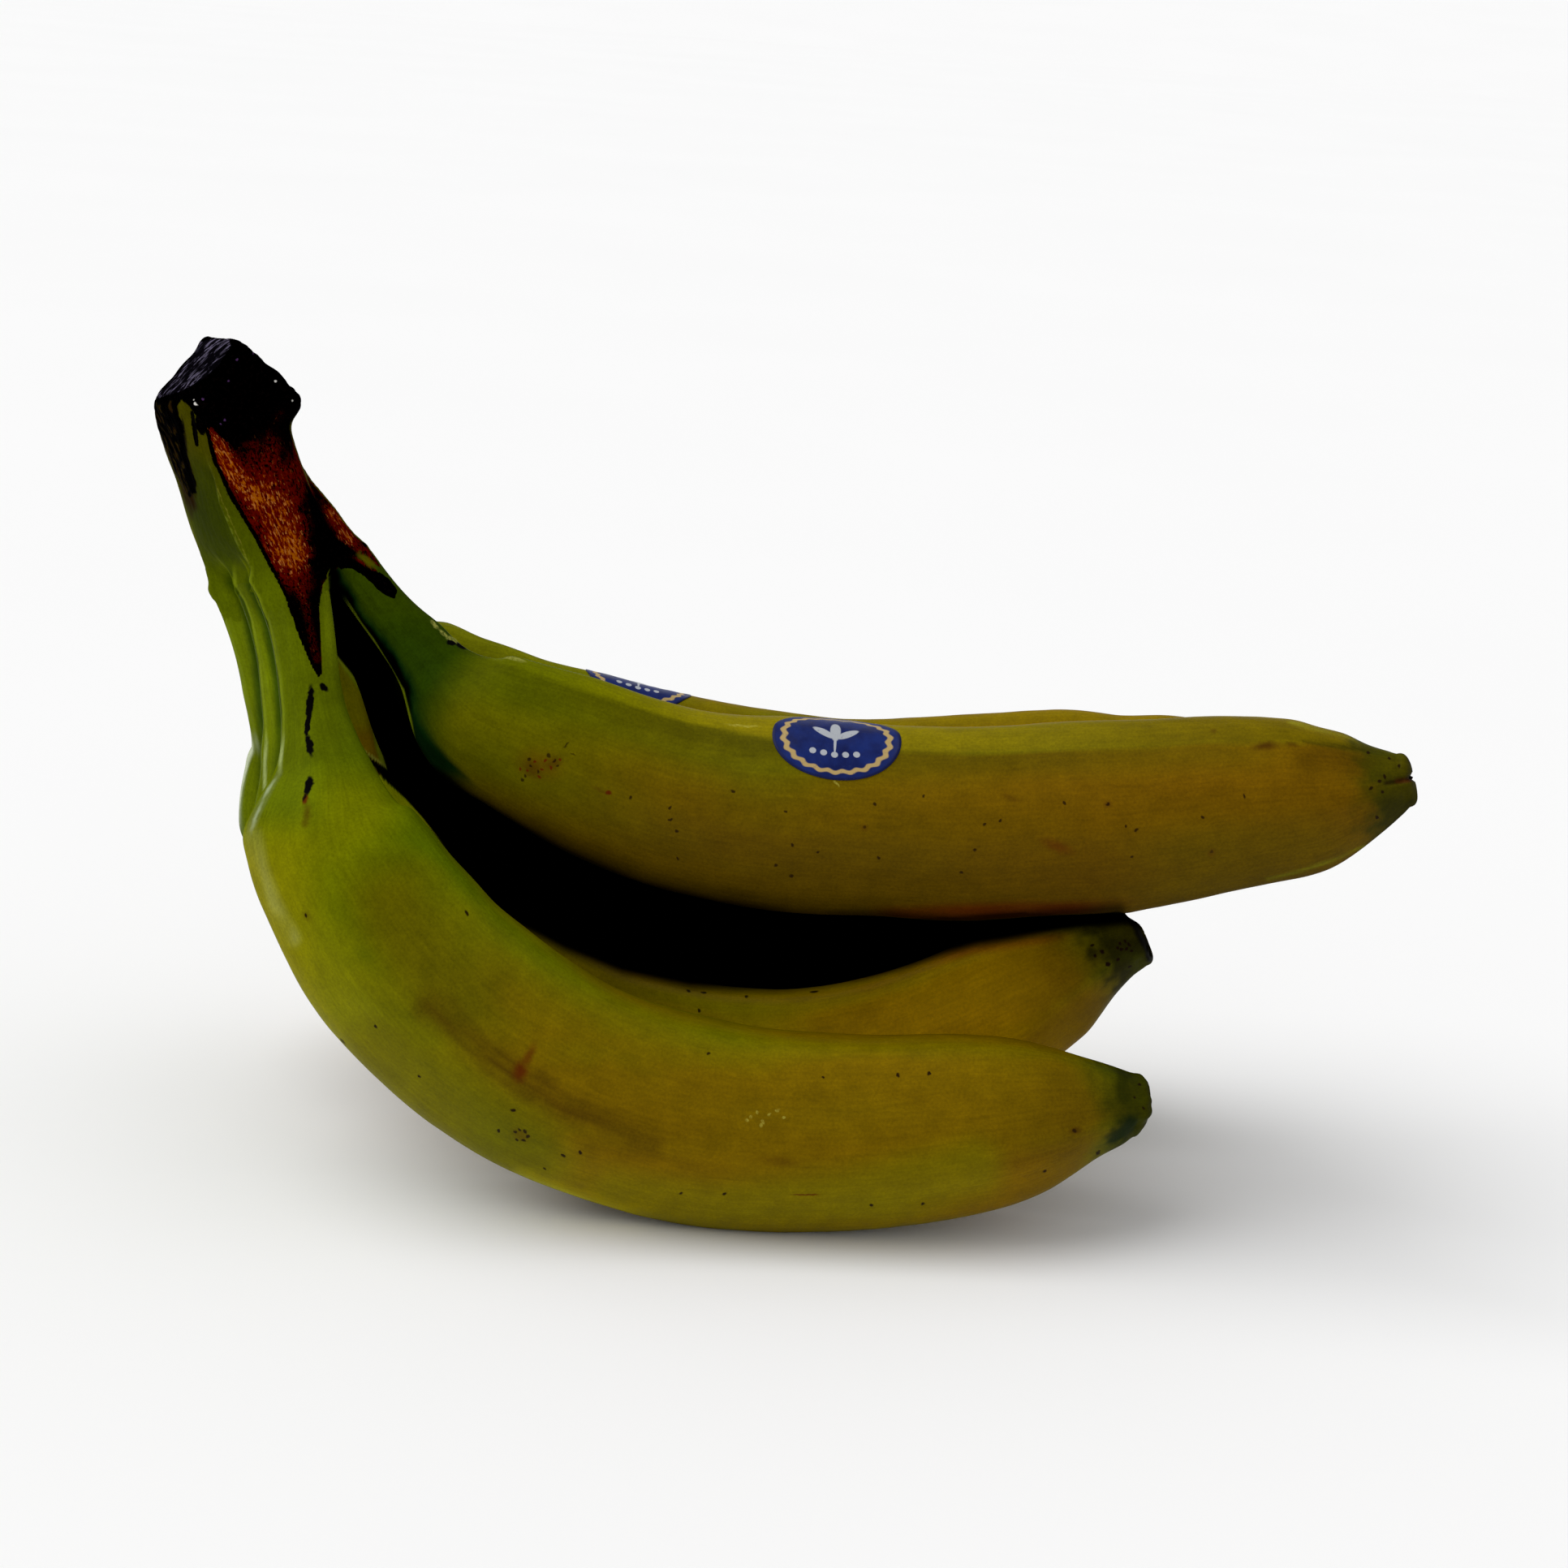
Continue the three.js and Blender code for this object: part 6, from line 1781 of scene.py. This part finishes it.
MARKS["C"] += [("brown", 740, 974, 30, 6, 25, 0.4, 0.8), ("red", 750, 977, 8, 6, 20, 0.85, 0.5),
               ("halo", 1365, 991, 14, 12, 0, 0.7, 0.7), ("dark", 1365, 991, 6, 5.5, 0, 0.9, 0.5),
               ("halo", 1065, 1020, 13, 11, 0, 0.6, 0.7), ("dark", 1065, 1019, 5, 4.5, 0, 0.7, 0.5),
               ("halo", 1493, 1051, 12, 11, 0, 0.55, 0.7), ("dark", 1493, 1050, 5, 4.5, 0, 0.6, 0.5),
               ("red", 1303, 1043, 46, 17, 22, 0.42, 0.9), ("brown", 1246, 983, 30, 9, 20, 0.4, 0.95),
               ("brown", 1560, 919, 38, 13, -6, 0.75, 0.85), ("brown", 1592, 917, 18, 8, 0, 0.6, 0.9),
               ("brown", 1495, 901, 10, 8, 0, 0.5, 0.8), ("red", 1210, 1123, 150, 22, 2, 0.30, 0.98),
               ("red", 1320, 1118, 150, 18, -5, 0.30, 0.98),
               ("pale", 915, 894, 46, 3.2, 4, 0.7, 0.6), ("pale", 1031, 965, 14, 3.4, 60, 0.6, 0.6)]
MARKS["C"] += dots("dark", 4.8, [(1686, 927), (1712, 934), (1706, 957), (1700, 963), (1689, 971), (1703, 975), (1697, 1007),
                                 (1724, 944)], 0.9)
# the papery torn edge at the shoulder, with a black notch
for k in "CD":
    if k == "D":
        MARKS[k] += along("paper", [(531, 764), (540, 775), (552, 785), (563, 791)], 5.5, 0.9, 0.5)
        break
    MARKS[k] += along("paper", [(531, 764), (540, 775), (552, 785), (566, 793), (580, 798), (600, 803), (622, 808), (645, 814)],
                      5.0, 0.9, 0.5)
    MARKS[k] += along("black", [(551, 791), (562, 793), (574, 799), (580, 801)], 5.5, 1.0, 0.35)
MARKS_CROWN = [("white", 241, 498, 5, 4, 0, 0.95, 0.5), ("white", 239, 492, 2.6, 2.2, 0, 0.6, 0.5),
               ("white", 340, 469, 3.4, 2.8, 0, 0.8, 0.5), ("white", 360, 493, 2.8, 2.6, 0, 0.7, 0.5),
               ("violet", 291, 443, 3.4, 2.8, 0, 0.7, 0.5), ("violet", 250, 492, 3, 2.6, 0, 0.7, 0.5),
               ("violet", 277, 518, 4.2, 3, 40, 0.8, 0.6), ("violet", 272, 523, 3.6, 3, 0, 0.7, 0.6),
               ("violet", 282, 469, 3, 2.6, 0, 0.6, 0.6), ("violet", 312, 436, 3, 2.6, 0, 0.5, 0.6),
               ("olive", 452, 691, 32, 10, 38, 0.85, 0.6)]
MARKS["C"] += [("olive", 452, 691, 32, 10, 38, 0.85, 0.6)]
MARKS_CROWN += along("pale", [(266, 598), (276, 622), (288, 650), (297, 672), (308, 696)], 2.2, 0.25, 0.8)
MARKS_CROWN += along("black", [(224, 512), (227, 532), (231, 560), (238, 596)], 2.6, 0.7, 0.7)
MARKS_CROWN += along("black", [(237, 507), (240, 525), (243, 547)], 3.4, 0.9, 0.5)

# the long front fruits carry many marks: those left and right of a line go to two materials of the same skin
SPLIT = {"A": 705.0, "C": 718.0}
for k, ob in parts.items():
    if k not in SPLIT:
        ob.data.materials.append(skin_material("peel_" + k, TREES.get(k), MARKS.get(k, ())))
        continue
    for side in (0, 1):
        some = [q for q in MARKS[k] if (q[1] > SPLIT[k]) == bool(side)]
        ob.data.materials.append(skin_material("peel_%s_%s" % (k, ("root", "tip")[side]), TREES[k], some, side == 0))
    m = next(x for x in fruits if x["key"] == k)
    co = np.zeros(len(ob.data.polygons) * 3)
    ob.data.polygons.foreach_get("center", co)
    right = project(co.reshape(-1, 3) / MM)[:, 0] > SPLIT[k]
    ob.data.polygons.foreach_set("material_index", right.astype(np.int32))
crown_ob.data.materials.append(skin_material("crown_skin", TREES["crown"], MARKS_CROWN, True))
lab_mat = label_material("label_print")
for ob in label_obs.values():
    ob.data.materials.append(lab_mat)

# ---- the frame's bodies and what each piece stands for ---------------------------------
for k, ob in parts.items():
    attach(ob, "root")
    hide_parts(KEYS[k])
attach(crown_ob, "root")
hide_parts("crown")
for n, ob in label_obs.items():
    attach(ob, "root")
    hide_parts(n)

# ---- camera, floor and light -------------------------------------------------------------
cam = bpy.data.cameras.new("camera")
cam.sensor_width = 36.0
cam.lens = FOCAL / 1932 * 36.0
cam.clip_end = 200.0
cam_ob = bpy.data.objects.new("camera", cam)
bpy.context.scene.collection.objects.link(cam_ob)
M = Matrix((tuple(CAM_RIGHT), tuple(CAM_UP), tuple(-CAM_FWD))).transposed().to_4x4()
M.translation = Vector(CAM_POS * MM)
cam_ob.matrix_world = M
bpy.context.scene.camera = cam_ob

floor_mesh = bpy.data.meshes.new("floor")
floor_mesh.from_pydata([(-30, -12, 0), (30, -12, 0), (30, 8, 0), (-30, 8, 0), (30, 30, 2.6), (-30, 30, 2.6),
                         (30, 60, 12), (-30, 60, 12)], [], [(0, 1, 2, 3), (3, 2, 4, 5), (5, 4, 6, 7)])
floor = bpy.data.objects.new("floor", floor_mesh)
bpy.context.scene.collection.objects.link(floor)
ft = Tree("floor_white")
ftc = ft.node("ShaderNodeTexCoord").outputs["Object"]
fn = ft.noise(ftc, 3.0, 2.0, 0.5)
fcol = ft.mix(fn, (0.93, 0.93, 0.93), (0.955, 0.955, 0.955))
floor_mesh.materials.append(ft.surface(fcol, 0.9, spec=0.1))

world = bpy.data.worlds.new("world")
bpy.context.scene.world = world
world.use_nodes = True
world.node_tree.nodes["Background"].inputs[0].default_value = (1, 1, 1, 1)
world.node_tree.nodes["Background"].inputs[1].default_value = WORLD

sun = bpy.data.lights.new("key", "SUN")
sun.energy = SUN
sun.angle = math.radians(SUN_ANGLE)
sun_ob = bpy.data.objects.new("key", sun)
bpy.context.scene.collection.objects.link(sun_ob)
d = Vector(SUN_FROM).normalized()
sun_ob.rotation_mode = "QUATERNION"
sun_ob.rotation_quaternion = d.to_track_quat("Z", "Y")
bpy.context.scene.view_settings.view_transform = "Standard"
